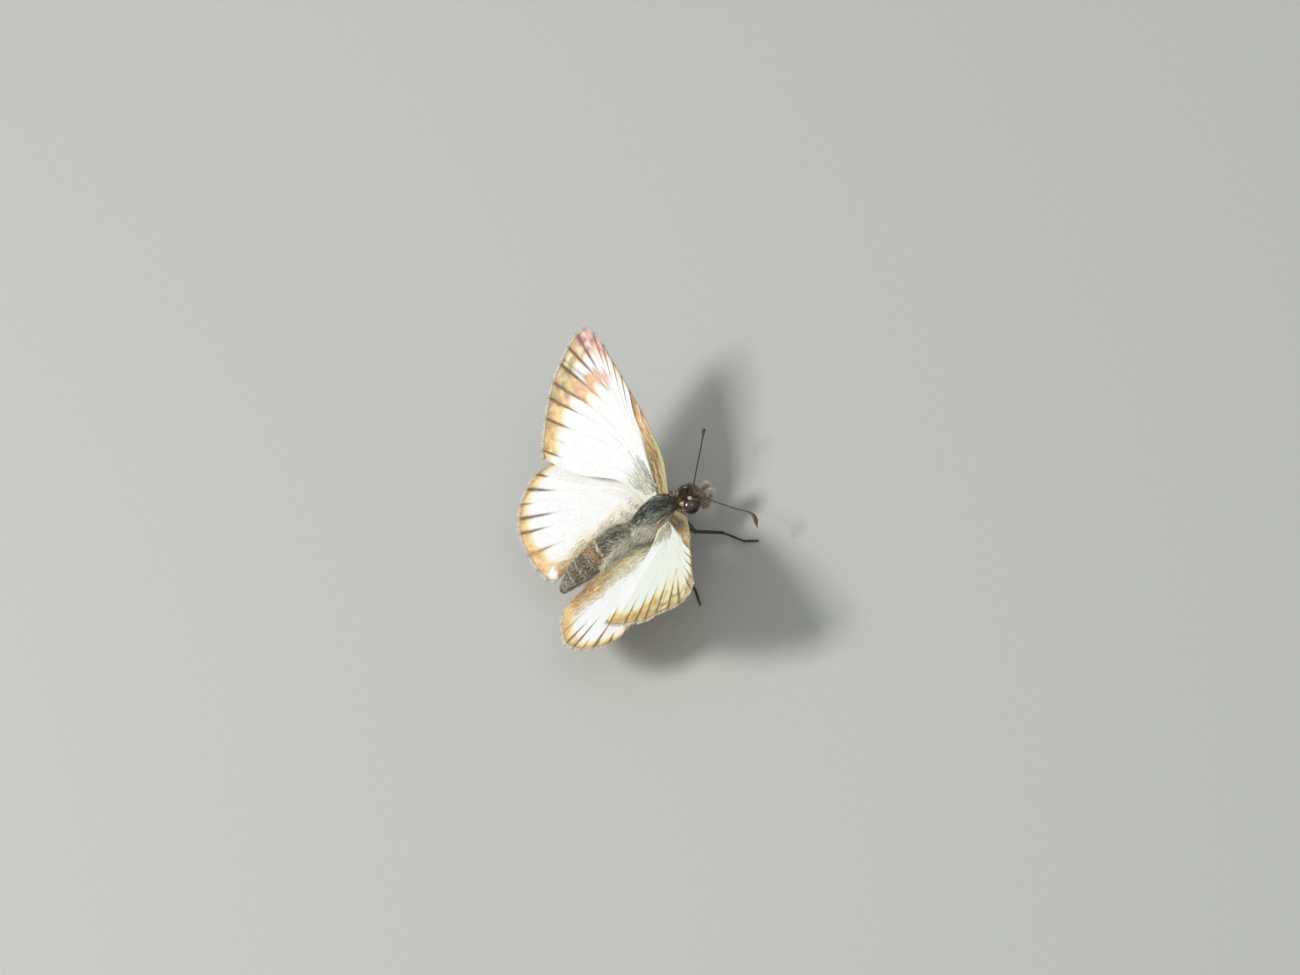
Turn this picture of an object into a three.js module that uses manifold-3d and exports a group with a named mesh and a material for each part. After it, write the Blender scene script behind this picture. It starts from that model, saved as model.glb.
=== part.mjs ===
// A white skipper butterfly at life size, basking with its wings held in a shallow V.
// Millimetres, +Z up, head toward -Y, the butterfly's own left toward +X.
// It stands on six legs, whose feet end in flats on the plane z = 0, under the middle of the whole.

import * as THREE from 'three';
import { mergeVertices } from 'three/addons/utils/BufferGeometryUtils.js';
import Module from 'manifold-3d';

const wasm = await Module();
wasm.setup();

// ---- driving dimensions -------------------------------------------------------------------------

const GAP = 0.3; // clear space between two neighbouring parts
const HINGE_HEIGHT = 4.5; // forewing hinges above the ground
const HINGE_OUT = 1.9; // wing hinges from the middle plane
const HINDWING_DROP = 1.2; // hindwing hinges below the forewing hinges
const MEMBRANE = 0.5; // wing thickness
const EDGE_THINNING = 0.8; // thickness left at the outer margin
const VEIN_RISE = 0.12; // ridge of a main vein above the membrane
const VEIN_HALF_WIDTH = 0.28;
const UNDERSIDE_RISE = 0.6; // the same ridge below the wing, as a share
const CAMBER = 0.2; // upward bow of a wing between root and tip
const EYE_RADIUS = 0.66;
const EYE_DEPTH = 0.6;
const BODY_SIDES = 18;
const LIMB_SIDES = 8;

// Wing attitudes in degrees: dihedral lifts the tip, pitch lifts the leading edge, sweep turns it
// forward. The two sides differ a little, as on a living insect.
const WING_POSE = {
  forewing_left: { dihedral: 18.1, pitch: 6.2, sweep: 0.4 },
  forewing_right: { dihedral: 19.9, pitch: 7.9, sweep: -1.7 },
  hindwing_left: { dihedral: 12.6, pitch: 0.5, sweep: -0.2 },
  hindwing_right: { dihedral: 14.6, pitch: 2.2, sweep: 1.2 },
};

// Body stations run from front to back: [forward, half width, top, bottom], heights from the
// forewing hinge. The fur is part of these sizes.
const HEAD = [
  [1.62, 0.34, -0.6, -1.1],
  [1.35, 0.5, -0.3, -1.36],
  [0.95, 0.56, -0.06, -1.54],
  [0.6, 0.56, -0.06, -1.5],
  [0.32, 0.5, -0.26, -1.25],
];
const THORAX = [
  [0.0, 0.62, 0.1, -1.15],
  [-0.35, 1.08, 0.6, -1.45],
  [-1.0, 1.3, 0.98, -1.7],
  [-1.9, 1.36, 1.08, -1.8],
  [-2.8, 1.28, 0.92, -1.72],
  [-3.5, 1.1, 0.64, -1.5],
  [-3.95, 0.84, 0.42, -1.2],
];
const ABDOMEN = [
  [-4.25, 0.86, 0.44, -1.2],
  [-5.0, 1.12, 0.76, -1.5],
  [-6.3, 1.2, 0.85, -1.6],
  [-7.8, 1.22, 0.8, -1.63],
  [-9.2, 1.1, 0.48, -1.68],
  [-10.4, 0.84, -0.02, -1.66],
  [-11.35, 0.54, -0.58, -1.62],
  [-11.75, 0.28, -0.94, -1.54],
];
const ABDOMEN_SEGMENTS = 8;
const SEGMENT_GROOVE = 0.045; // depth of the joint between two rings, as a share of the radius

const EYE = { forward: 0.8, up: -0.84, left: 0.56 + GAP };

// Wing plans are in the wing's own plane, as [out from the hinge, aft of the hinge].
// margin runs from the leading edge round the tip to the inner corner, and each vein ends on one
// of its points. via holds a point half way down the cell and a point level with the cell's end.
// rise is a share of the full ridge. A vein with "from" starts at that row of the grid.
const ROWS = 11;
const CELL_ROWS = [0, 3, 7, 11]; // rows of the root, the half cell, the cell's end and the margin

const FOREWING = {
  root: [[-0.4, 0.2], [-0.32, 1.9]],
  margin: [
    [6.0, -0.94], [7.5, -0.96], [9.2, -0.91], [10.7, -0.86], [12.2, -0.78], [14.0, -0.62],
    [15.5, -0.34], [16.42, 0.2], [16.5, 0.95], [15.95, 2.05], [15.1, 3.25], [14.15, 4.52],
    [13.15, 5.42], [11.8, 6.48], [9.65, 7.95], [8.9, 8.2],
  ],
  veins: [
    { name: 'costa', via: [[2.0, -0.66], [4.1, -0.88]], end: 0, rise: 0.7 },
    { name: 'subcosta', via: [[2.9, -0.42], [5.2, -0.6]], end: 1, rise: 1 },
    { name: 'radius 1', via: [[3.9, -0.16], [6.5, -0.2]], end: 2, rise: 1 },
    { name: 'radius 2', via: [[3.95, -0.03], [7.5, -0.06]], end: 3, rise: 1 },
    { name: 'radius 3', via: [[4.0, 0.1], [8.4, 0.08]], end: 4, rise: 1 },
    { name: 'radius 4', via: [[4.0, 0.23], [9.2, 0.24]], end: 5, rise: 1 },
    { name: 'fore fold of the apex', via: [[4.01, 0.3], [9.5, 0.34]], end: 6, rise: 0 },
    { name: 'hind fold of the apex', via: [[4.03, 0.37], [9.8, 0.44]], end: 7, rise: 0 },
    { name: 'radius 5', via: [[4.05, 0.46], [10.1, 0.56]], end: 8, rise: 1 },
    { name: 'media 1', via: [[4.05, 0.64], [10.3, 0.78]], end: 9, rise: 1, from: 7 },
    { name: 'media 2', via: [[4.0, 0.95], [9.95, 1.6]], end: 10, rise: 1, from: 7 },
    { name: 'media 3', via: [[3.8, 1.3], [9.3, 2.4]], end: 11, rise: 1 },
    { name: 'cubitus 1', via: [[3.68, 1.5], [8.0, 2.7]], end: 12, rise: 1 },
    { name: 'cubitus 2', via: [[3.5, 1.75], [6.3, 3.0]], end: 13, rise: 1 },
    { name: 'anal vein', via: [[3.2, 2.7], [6.4, 5.7]], end: 14, rise: 1 },
    { name: 'inner margin', via: [[2.7, 3.3], [5.75, 6.25]], end: 15, rise: 0 },
  ],
  cellEnd: [9, 11], // the cross vein joins these veins of the list above
  innerLift: 0,
};

const HINDWING = {
  root: [[-0.4, 2.0], [-0.4, 3.45]],
  margin: [
    [8.9, 6.7], [9.45, 7.95], [9.35, 9.45], [8.65, 10.75], [7.7, 11.75], [6.55, 12.4],
    [5.3, 12.9], [3.05, 13.0], [1.4, 12.86], [0.1, 12.5], [-0.55, 11.9],
  ],
  veins: [
    { name: 'costa', via: [[3.5, 2.75], [6.6, 4.4]], end: 0, rise: 0.7 },
    { name: 'subcosta', via: [[3.2, 3.1], [6.2, 5.2]], end: 1, rise: 1 },
    { name: 'radial sector', via: [[2.85, 3.5], [5.7, 6.4]], end: 2, rise: 1 },
    { name: 'media 1', via: [[2.65, 3.72], [5.35, 6.9]], end: 3, rise: 1 },
    { name: 'media 2', via: [[2.3, 3.95], [4.8, 7.35]], end: 4, rise: 1, from: 7 },
    { name: 'media 3', via: [[1.9, 4.1], [4.0, 7.65]], end: 5, rise: 1 },
    { name: 'cubitus 1', via: [[1.68, 4.2], [3.1, 7.75]], end: 6, rise: 1 },
    { name: 'cubitus 2', via: [[1.42, 4.28], [1.75, 7.3]], end: 7, rise: 1 },
    { name: 'first anal vein', via: [[0.65, 4.5], [0.1, 7.9]], end: 8, rise: 1 },
    { name: 'second anal vein', via: [[0.1, 4.6], [-0.2, 7.9]], end: 9, rise: 1 },
    { name: 'inner margin', via: [[-0.3, 4.6], [-0.42, 8.0]], end: 10, rise: 0 },
  ],
  cellEnd: [3, 5],
  innerLift: 0.75, // how far the strip inside the first anal vein curls up beside the abdomen
};

// Legs by pair: hip forward of the hinges and out from the middle, then knee and ankle as
// [forward, out, up], and the two ends of the foot as [forward, out] on the ground. The hip's
// height comes from the thorax above it. The left foreleg is set down further to the side.
const FOOT_AXIS = 0.2; // height of a foot's middle, less than its radius, so that it is cut flat
const LEGS = {
  foreleg: {
    hip: { forward: -0.55, out: 0.62 },
    knee: [-0.04, 2.35, -1.95],
    ankle: [1.66, 2.85, -3.2],
    pad: [2.75, 3.85],
    claw: [3.8, 4.75],
    spurs: 0,
    left: { knee: [-0.3, 2.3, -1.95], ankle: [0.2, 3.1, -3.3], pad: [0.3, 3.95], claw: [0.1, 5.3] },
  },
  midleg: {
    hip: { forward: -1.75, out: 0.65 },
    knee: [-1.95, 2.6, -2.25],
    ankle: [-2.4, 4.3, -3.6],
    pad: [-2.5, 5.4],
    claw: [-2.6, 7.3],
    spurs: 1,
  },
  hindleg: {
    hip: { forward: -2.95, out: 0.6 },
    knee: [-4.3, 2.15, -2.35],
    ankle: [-5.9, 3.2, -3.6],
    pad: [-6.7, 3.6],
    claw: [-8.2, 4.35],
    spurs: 2,
  },
};
const LEG_RADII = { hip: 0.36, thigh: 0.38, knee: 0.29, shin: 0.26, ankle: 0.26, foot: 0.25, claw: 0.12 };

const ANTENNA_BASE = [1.58, 0.42, -0.5];
const ANTENNAE = {
  antenna_left: { bend: [4.12, 5.2, -0.45], tip: [4.3, 6.0, -0.7] },
  antenna_right: { bend: [5.0, 5.2, -1.45], tip: [4.82, 6.42, -1.82] },
};
const ANTENNA_SHAFT = 0.25;
const ANTENNA_CLUB = 0.34;

const PALP_PATH = [[1.25, 0.42, -1.98], [1.7, 0.44, -1.84], [2.2, 0.46, -1.48], [2.75, 0.46, -0.98]];
const PALP_RADII = [0.24, 0.32, 0.32, 0.12];

// ---- frame and mesh helpers -----------------------------------------------------------------------

// A point given as forward, left and up from the middle of the two forewing hinges.
function place(forward, left, up) {
  return new THREE.Vector3(left, -forward, HINGE_HEIGHT + up);
}

function triangleMesh(points, triangles) {
  const geometry = new THREE.BufferGeometry();
  geometry.setAttribute('position', new THREE.Float32BufferAttribute(points.flatMap((p) => p.toArray()), 3));
  geometry.setIndex(triangles.flat());
  return outward(geometry);
}

// Turns a closed mesh so that its faces point out, by the sign of its volume.
function outward(geometry) {
  const position = geometry.getAttribute('position');
  const corners = geometry.getIndex().array;
  const [a, b, c] = [new THREE.Vector3(), new THREE.Vector3(), new THREE.Vector3()];
  let volume = 0;
  for (let i = 0; i < corners.length; i += 3) {
    a.fromBufferAttribute(position, corners[i]);
    b.fromBufferAttribute(position, corners[i + 1]);
    c.fromBufferAttribute(position, corners[i + 2]);
    volume += a.dot(b.cross(c));
  }
  if (volume < 0) {
    for (let i = 0; i < corners.length; i += 3) {
      [corners[i], corners[i + 1]] = [corners[i + 1], corners[i]];
    }
  }
  return geometry;
}

// Skins equal rings of points and closes the first and last ring about their middles.
function loft(rings) {
  const sides = rings[0].length;
  const points = rings.flat();
  const triangles = [];
  for (let r = 0; r + 1 < rings.length; r += 1) {
    for (let s = 0; s < sides; s += 1) {
      const next = (s + 1) % sides;
      const [a, b] = [r * sides + s, r * sides + next];
      triangles.push([a, b, b + sides], [a, b + sides, a + sides]);
    }
  }
  [0, rings.length - 1].forEach((r) => {
    const middle = new THREE.Vector3();
    rings[r].forEach((p) => middle.addScaledVector(p, 1 / sides));
    points.push(middle);
    for (let s = 0; s < sides; s += 1) {
      const edge = [r * sides + s, r * sides + (s + 1) % sides];
      triangles.push(r === 0 ? [points.length - 1, edge[1], edge[0]] : [points.length - 1, ...edge]);
    }
  });
  return triangleMesh(points, triangles);
}

function toSolid(geometry) {
  const bare = new THREE.BufferGeometry();
  bare.setAttribute('position', geometry.getAttribute('position'));
  bare.setIndex(geometry.getIndex());
  const merged = mergeVertices(bare);
  return new wasm.Manifold(new wasm.Mesh({
    numProp: 3,
    vertProperties: Float32Array.from(merged.getAttribute('position').array),
    triVerts: Uint32Array.from(merged.getIndex().array),
  }));
}

// The largest closed piece of a solid, as a three.js geometry.
function toGeometry(solid) {
  const largest = solid.decompose().reduce((a, b) => (a.volume() > b.volume() ? a : b));
  const mesh = largest.getMesh();
  const geometry = new THREE.BufferGeometry();
  geometry.setAttribute('position', new THREE.Float32BufferAttribute(mesh.vertProperties, 3));
  geometry.setIndex(Array.from(mesh.triVerts));
  return geometry;
}

// ---- head, thorax and abdomen -----------------------------------------------------------------------

// Section of a body at a share of its length: forward, half width, top and bottom.
function bodySection(stations, share) {
  const widths = new THREE.CatmullRomCurve3(stations.map(([f, w]) => new THREE.Vector3(f, w, 0)));
  const heights = new THREE.CatmullRomCurve3(stations.map(([f, , t, b]) => new THREE.Vector3(f, t, b)));
  const wide = widths.getPoint(share);
  const high = heights.getPoint(share);
  return { forward: wide.x, halfWidth: wide.y, top: high.y, bottom: high.z };
}

function bodyGeometry(stations, ringCount, relief) {
  const rings = [];
  for (let r = 0; r <= ringCount; r += 1) {
    const share = r / ringCount;
    const { forward, halfWidth, top, bottom } = bodySection(stations, share);
    const ring = [];
    for (let s = 0; s < BODY_SIDES; s += 1) {
      const angle = (s / BODY_SIDES) * 2 * Math.PI;
      const swell = relief(share, angle);
      const left = halfWidth * swell * Math.sin(angle);
      const up = (top + bottom) / 2 + ((top - bottom) / 2) * swell * Math.cos(angle);
      ring.push(place(forward, left, up));
    }
    rings.push(ring);
  }
  return loft(rings);
}

// Height of a body's underside at a place.
function underside(stations, forward, out) {
  let best = bodySection(stations, 0);
  for (let share = 0; share <= 1; share += 0.01) {
    const section = bodySection(stations, share);
    if (Math.abs(section.forward - forward) < Math.abs(best.forward - forward)) {
      best = section;
    }
  }
  const fall = Math.sqrt(Math.max(0, 1 - (out / best.halfWidth) ** 2));
  return (best.top + best.bottom) / 2 - ((best.top - best.bottom) / 2) * fall;
}

// The back plates swell either side of a shallow seam across the rear of the thorax.
function thoraxRelief(share, angle) {
  const seam = 0.05 * Math.exp(-(((share - 0.7) / 0.05) ** 2)) * Math.max(0, Math.cos(angle));
  return 1 - seam;
}

// Each abdominal ring bulges a little and pinches in where it meets the next.
function abdomenRelief(share) {
  const phase = (share * ABDOMEN_SEGMENTS) % 1;
  return 1 - SEGMENT_GROOVE * Math.abs(2 * phase - 1) ** 3;
}

function eyeGeometry(side) {
  const profile = [];
  const steps = 6;
  for (let i = 0; i <= steps; i += 1) {
    const angle = (i / steps) * (Math.PI / 2);
    profile.push(new THREE.Vector2(EYE_RADIUS * Math.cos(angle), EYE_DEPTH * Math.sin(angle)));
  }
  profile[steps].x = 0;
  profile.unshift(new THREE.Vector2(0, 0));
  const geometry = new THREE.LatheGeometry(profile, 14);
  geometry.rotateZ(-side * (Math.PI / 2));
  const seat = place(EYE.forward, side * EYE.left, EYE.up);
  geometry.translate(seat.x, seat.y, seat.z);
  return outward(geometry);
}

// ---- limbs and feelers ------------------------------------------------------------------------------

// A tube through a list of points, each with its own radius, bent without twist.
function tube(points, radii, sides = LIMB_SIDES) {
  const heading = (i) => points[Math.min(i + 1, points.length - 1)].clone()
    .sub(points[Math.max(i - 1, 0)])
    .normalize();
  const up = new THREE.Vector3(0, 0, 1);
  const rings = points.map((point, i) => {
    const along = heading(i);
    const across = new THREE.Vector3().crossVectors(along, up).normalize();
    const over = new THREE.Vector3().crossVectors(across, along);
    const ring = [];
    for (let s = 0; s < sides; s += 1) {
      const angle = ((s + 0.5) / sides) * 2 * Math.PI;
      ring.push(point.clone()
        .addScaledVector(across, radii[i] * Math.cos(angle))
        .addScaledVector(over, radii[i] * Math.sin(angle)));
    }
    return ring;
  });
  return loft(rings);
}

function between(a, b, share) {
  return a.clone().lerp(b, share);
}

// A pair of spurs splayed from the lower end of a shin.
function spurPair(root, along) {
  const across = new THREE.Vector3().crossVectors(along, new THREE.Vector3(0, 0, 1)).normalize();
  return [-1, 1].map((side) => {
    const tip = root.clone().addScaledVector(along, 0.75).addScaledVector(across, side * 0.42);
    return tube([root, between(root, tip, 0.5), tip], [0.12, 0.11, 0.03], 6);
  });
}

function legGeometry(leg, side) {
  const joint = ([forward, out, up]) => place(forward, side * out, up);
  const onGround = ([forward, out]) => place(forward, side * out, FOOT_AXIS - HINGE_HEIGHT);
  const hipTop = underside(THORAX, leg.hip.forward, leg.hip.out) - GAP;
  const hip = place(leg.hip.forward, side * leg.hip.out, hipTop);
  const thigh = place(leg.hip.forward, side * (leg.hip.out + 0.12), hipTop - 0.5);
  const [knee, ankle] = [joint(leg.knee), joint(leg.ankle)];
  const [pad, claw] = [onGround(leg.pad), onGround(leg.claw)];
  const r = LEG_RADII;
  const points = [
    hip, thigh, between(thigh, knee, 0.35), between(thigh, knee, 0.85), knee,
    between(knee, ankle, 0.15), between(knee, ankle, 0.6), ankle,
    between(ankle, pad, 0.5), pad, between(pad, claw, 0.3), between(pad, claw, 0.6),
    between(pad, claw, 0.88), claw,
  ];
  const radii = [
    r.hip, r.hip, r.thigh, r.knee, r.knee,
    r.shin, r.shin, r.ankle,
    r.foot, r.foot, r.foot, r.foot, r.foot, r.claw,
  ];
  let solid = toSolid(tube(points, radii));
  const shin = ankle.clone().sub(knee).normalize();
  for (let pair = 0; pair < leg.spurs; pair += 1) {
    const root = between(knee, ankle, 0.95 - 0.4 * pair);
    spurPair(root, shin).forEach((spur) => {
      solid = solid.add(toSolid(spur));
    });
  }
  const ground = new THREE.BoxGeometry(40, 40, 4);
  ground.translate(0, 0, -2);
  return toGeometry(solid.subtract(toSolid(ground)));
}

// A straight shaft that thickens into a club, whose end hooks outward to a blunt point.
function antennaGeometry({ bend, tip }, side) {
  const joint = ([forward, out, up]) => place(forward, side * out, up);
  const [base, knee, end] = [joint(ANTENNA_BASE), joint(bend), joint(tip)];
  const shares = [0, 0.2, 0.4, 0.6, 0.74, 0.82, 0.9, 0.96];
  const points = shares.map((share) => between(base, knee, share));
  const radii = shares.map((share) => {
    const swell = THREE.MathUtils.smoothstep(share, 0.7, 0.92);
    return ANTENNA_SHAFT + (ANTENNA_CLUB - ANTENNA_SHAFT) * swell;
  });
  points.push(between(knee, end, 0.1), between(knee, end, 0.4), between(knee, end, 0.75), end);
  radii.push(ANTENNA_CLUB, 0.27, 0.2, 0.08);
  return tube(points, radii);
}

function palpGeometry(side) {
  const path = PALP_PATH.map(([forward, out, up]) => place(forward, side * out, up));
  const curve = new THREE.CatmullRomCurve3(path);
  const thickness = new THREE.CatmullRomCurve3(PALP_RADII.map((r, i) => new THREE.Vector3(i, r, 0)));
  const steps = 8;
  const points = curve.getPoints(steps);
  const radii = thickness.getPoints(steps).map((p) => p.y);
  return tube(points, radii, 10);
}

// ---- wings ------------------------------------------------------------------------------------------

// Points of one vein at each row of the grid, from the root to the margin.
function spine(plan, vein, share, marginCurve) {
  const root = new THREE.Vector2(...plan.root[0]).lerp(new THREE.Vector2(...plan.root[1]), share);
  const end = marginCurve.getPoint(vein.end / (plan.margin.length - 1));
  const path = new THREE.CatmullRomCurve3([
    new THREE.Vector3(root.x, root.y, 0),
    new THREE.Vector3(...vein.via[0], 0),
    new THREE.Vector3(...vein.via[1], 0),
    end,
  ]);
  const rows = [];
  for (let row = 0; row <= ROWS; row += 1) {
    const stretch = row < CELL_ROWS[1] ? 0 : (row < CELL_ROWS[2] ? 1 : 2);
    const [low, high] = [CELL_ROWS[stretch], CELL_ROWS[stretch + 1]];
    rows.push(path.getPoint((stretch + (row - low) / (high - low)) / 3));
  }
  return rows;
}

// A column of the grid beside one vein and on the way to the next, with its share of their ridges.
function flankColumn(near, far, marginCurve) {
  const points = [];
  const rises = [];
  const ends = near.spine[ROWS].distanceTo(far.spine[ROWS]);
  const endShare = Math.min(1 / 3, VEIN_HALF_WIDTH / ends);
  const onMargin = marginCurve.getPoint(near.end + (far.end - near.end) * endShare);
  const bulge = onMargin.sub(between(near.spine[ROWS], far.spine[ROWS], endShare));
  for (let row = 0; row <= ROWS; row += 1) {
    const distance = near.spine[row].distanceTo(far.spine[row]);
    const share = Math.min(1 / 3, VEIN_HALF_WIDTH / distance);
    const point = between(near.spine[row], far.spine[row], share);
    points.push(point.addScaledVector(bulge, (row / ROWS) ** 3));
    const nearRise = near.rises[row] * (1 - (share * distance) / VEIN_HALF_WIDTH);
    const farRise = far.rises[row] * (1 - ((1 - share) * distance) / VEIN_HALF_WIDTH);
    rises.push(Math.max(0, nearRise, farRise));
  }
  return { points, rises };
}

// Height of a vein's ridge at each row, from the row where the vein leaves the cell.
function ridgeRows(vein) {
  const first = vein.from ?? 0;
  const rises = [];
  for (let row = 0; row <= ROWS; row += 1) {
    rises.push(row < first ? 0 : vein.rise * VEIN_RISE);
  }
  return rises;
}

// The grid's columns, from the leading edge to the inner margin: each vein and its two flanks.
function wingColumns(plan) {
  const marginPoints = plan.margin.map(([out, aft]) => new THREE.Vector3(out, aft, 0));
  const marginCurve = new THREE.CatmullRomCurve3(marginPoints);
  const last = plan.veins.length - 1;
  const veins = plan.veins.map((vein, k) => ({
    spine: spine(plan, vein, k / last, marginCurve),
    end: vein.end / (plan.margin.length - 1),
    rises: ridgeRows(vein),
  }));
  const columns = [];
  veins.forEach((vein, k) => {
    columns.push({ points: vein.spine, rises: vein.rises, order: k });
    if (k < last) {
      columns.push({ ...flankColumn(vein, veins[k + 1], marginCurve), order: k + 0.3 });
      columns.push({ ...flankColumn(veins[k + 1], vein, marginCurve), order: k + 0.7 });
    }
  });
  columns.filter(({ order }) => order >= plan.cellEnd[0] && order <= plan.cellEnd[1]).forEach((column) => {
    column.rises[CELL_ROWS[2]] = Math.max(column.rises[CELL_ROWS[2]], 0.8 * VEIN_RISE);
  });
  return columns;
}

// A wing in its own plane: +X out, +Y aft, +Z up, with the same triangles above and below.
function wingGeometry(plan) {
  const columns = wingColumns(plan);
  const span = Math.max(...plan.margin.map(([out]) => out));
  const crease = plan.veins.length - 3;
  const top = [];
  const bottom = [];
  columns.forEach(({ points, rises, order }) => {
    points.forEach((point, row) => {
      const bow = CAMBER * Math.sin(Math.PI * THREE.MathUtils.clamp(point.x / span, 0, 1));
      const curl = plan.innerLift * Math.max(0, (order - crease) / 2) * Math.sin((Math.PI * row) / ROWS);
      const half = (MEMBRANE / 2) * (row === ROWS ? EDGE_THINNING : 1);
      top.push(new THREE.Vector3(point.x, point.y, bow + curl + half + rises[row]));
      bottom.push(new THREE.Vector3(point.x, point.y, bow + curl - half - rises[row] * UNDERSIDE_RISE));
    });
  });
  return sheetMesh(top, bottom, columns.length, ROWS + 1);
}

// Closes an upper and a lower grid of points into one thin solid.
function sheetMesh(top, bottom, columnCount, rowCount) {
  const below = top.length;
  const at = (column, row) => column * rowCount + row;
  const triangles = [];
  for (let c = 0; c + 1 < columnCount; c += 1) {
    for (let r = 0; r + 1 < rowCount; r += 1) {
      const [a, b, d, e] = [at(c, r), at(c, r + 1), at(c + 1, r + 1), at(c + 1, r)];
      triangles.push([a, b, d], [a, d, e]);
      triangles.push([below + a, below + d, below + b], [below + a, below + e, below + d]);
    }
  }
  const rim = [];
  for (let r = 0; r < rowCount - 1; r += 1) rim.push(at(0, r));
  for (let c = 0; c < columnCount - 1; c += 1) rim.push(at(c, rowCount - 1));
  for (let r = rowCount - 1; r > 0; r -= 1) rim.push(at(columnCount - 1, r));
  for (let c = columnCount - 1; c > 0; c -= 1) rim.push(at(c, 0));
  rim.forEach((a, i) => {
    const b = rim[(i + 1) % rim.length];
    triangles.push([b, a, below + a], [b, below + a, below + b]);
  });
  return triangleMesh([...top, ...bottom], triangles);
}

function mirrored(geometry) {
  const copy = geometry.clone();
  copy.scale(-1, 1, 1);
  return outward(copy);
}

// ---- colours ----------------------------------------------------------------------------------------

const finish = (color, roughness) => new THREE.MeshStandardMaterial({ color, roughness, metalness: 0 });
const WING_WHITE = finish('#f1efe8', 0.75);
const FUR_GREY = finish('#4b4841', 0.95);
const ABDOMEN_BROWN = finish('#5a4a3c', 0.9);
const EYE_BROWN = finish('#2c1a18', 0.25);
const PALP_BUFF = finish('#b79f7c', 0.95);
const FEELER_BROWN = finish('#3a2a22', 0.7);
const LEG_BROWN = finish('#4a3a2e', 0.8);

// ---- assembly ---------------------------------------------------------------------------------------

const butterfly = new THREE.Group();

function addPart(name, geometry, material) {
  const mesh = new THREE.Mesh(geometry, material);
  mesh.name = name;
  butterfly.add(mesh);
  return mesh;
}

function addWing(name, geometry, side, drop) {
  const { dihedral, pitch, sweep } = WING_POSE[name];
  const wing = addPart(name, side > 0 ? geometry : mirrored(geometry), WING_WHITE);
  const turn = THREE.MathUtils.degToRad;
  wing.position.copy(place(0, side * HINGE_OUT, -drop));
  wing.rotation.set(-turn(pitch), -side * turn(dihedral), -side * turn(sweep), 'YXZ');
}

addPart('head', bodyGeometry(HEAD, 9, () => 1), FUR_GREY);
addPart('thorax', bodyGeometry(THORAX, 14, thoraxRelief), FUR_GREY);
addPart('abdomen', bodyGeometry(ABDOMEN, ABDOMEN_SEGMENTS * 4, abdomenRelief), ABDOMEN_BROWN);

const forewing = wingGeometry(FOREWING);
const hindwing = wingGeometry(HINDWING);

[['left', 1], ['right', -1]].forEach(([hand, side]) => {
  addPart(`eye_${hand}`, eyeGeometry(side), EYE_BROWN);
  addPart(`palp_${hand}`, palpGeometry(side), PALP_BUFF);
  addPart(`antenna_${hand}`, antennaGeometry(ANTENNAE[`antenna_${hand}`], side), FEELER_BROWN);
  addWing(`forewing_${hand}`, forewing, side, 0);
  addWing(`hindwing_${hand}`, hindwing, side, HINDWING_DROP);
  Object.entries(LEGS).forEach(([pair, leg]) => {
    addPart(`${pair}_${hand}`, legGeometry({ ...leg, ...leg[hand] }, side), LEG_BROWN);
  });
});

// The origin is the middle of the ground under the whole butterfly.
butterfly.updateMatrixWorld(true);
const reach = new THREE.Box3().setFromObject(butterfly, true);
butterfly.position.set(-(reach.min.x + reach.max.x) / 2, -(reach.min.y + reach.max.y) / 2, 0);

export default butterfly;
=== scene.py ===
import math

import bpy
import numpy as np
from mathutils import Matrix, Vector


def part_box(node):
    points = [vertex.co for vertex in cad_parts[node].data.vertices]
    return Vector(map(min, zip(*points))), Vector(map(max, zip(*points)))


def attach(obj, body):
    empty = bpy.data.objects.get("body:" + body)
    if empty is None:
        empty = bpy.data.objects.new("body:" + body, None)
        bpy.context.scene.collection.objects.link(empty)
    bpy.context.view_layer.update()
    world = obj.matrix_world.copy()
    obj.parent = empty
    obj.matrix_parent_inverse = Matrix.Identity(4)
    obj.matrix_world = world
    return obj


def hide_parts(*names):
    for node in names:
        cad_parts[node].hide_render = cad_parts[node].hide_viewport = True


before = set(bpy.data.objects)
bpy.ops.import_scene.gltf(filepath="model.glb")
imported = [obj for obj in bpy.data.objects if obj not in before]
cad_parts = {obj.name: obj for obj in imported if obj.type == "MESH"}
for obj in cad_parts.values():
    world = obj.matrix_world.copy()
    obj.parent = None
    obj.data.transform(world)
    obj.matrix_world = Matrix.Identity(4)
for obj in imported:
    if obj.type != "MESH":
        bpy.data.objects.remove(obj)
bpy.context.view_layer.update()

bpy.ops.object.select_all(action="DESELECT")

# ---- The insect's own frame ----
# Every piece is set out in millimetres forward, left and up from the point half way between the two
# forewing hinges, as a pinned insect is measured. The thorax begins at forward 0.

MM = 0.001
HINGE_HEIGHT = 4.5
thorax_low, thorax_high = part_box("thorax")
HINGE = np.array([(thorax_low.x + thorax_high.x) / 2 / MM, thorax_low.y / MM, HINGE_HEIGHT])


def spot(forward, left, up):
    """Places for distances forward, left and up."""
    forward, left, up = np.broadcast_arrays(forward, left, up)
    return np.stack([HINGE[0] + left, HINGE[1] - forward, HINGE[2] + up], axis=-1)


# ---- Camera ----
# A long lens looks down by 40 degrees on the butterfly's right side, a little from the front. It is
# rolled about its own axis, so that the head points to the right and upward.

CAMERA_DISTANCE = 1.2
VIEW_WIDTH = 0.10277  # at the butterfly
SENSOR_WIDTH = 36.0
NEAR_CLIP = 0.01
VIEW_RIGHT = np.array([-0.2538, -0.8140, -0.5224])
VIEW_UP = np.array([0.6087, -0.5542, 0.5677])
HINGE_RIGHT_OF_MIDDLE = 1.9597  # millimetres in the view
HINGE_BELOW_MIDDLE = 0.927


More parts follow.
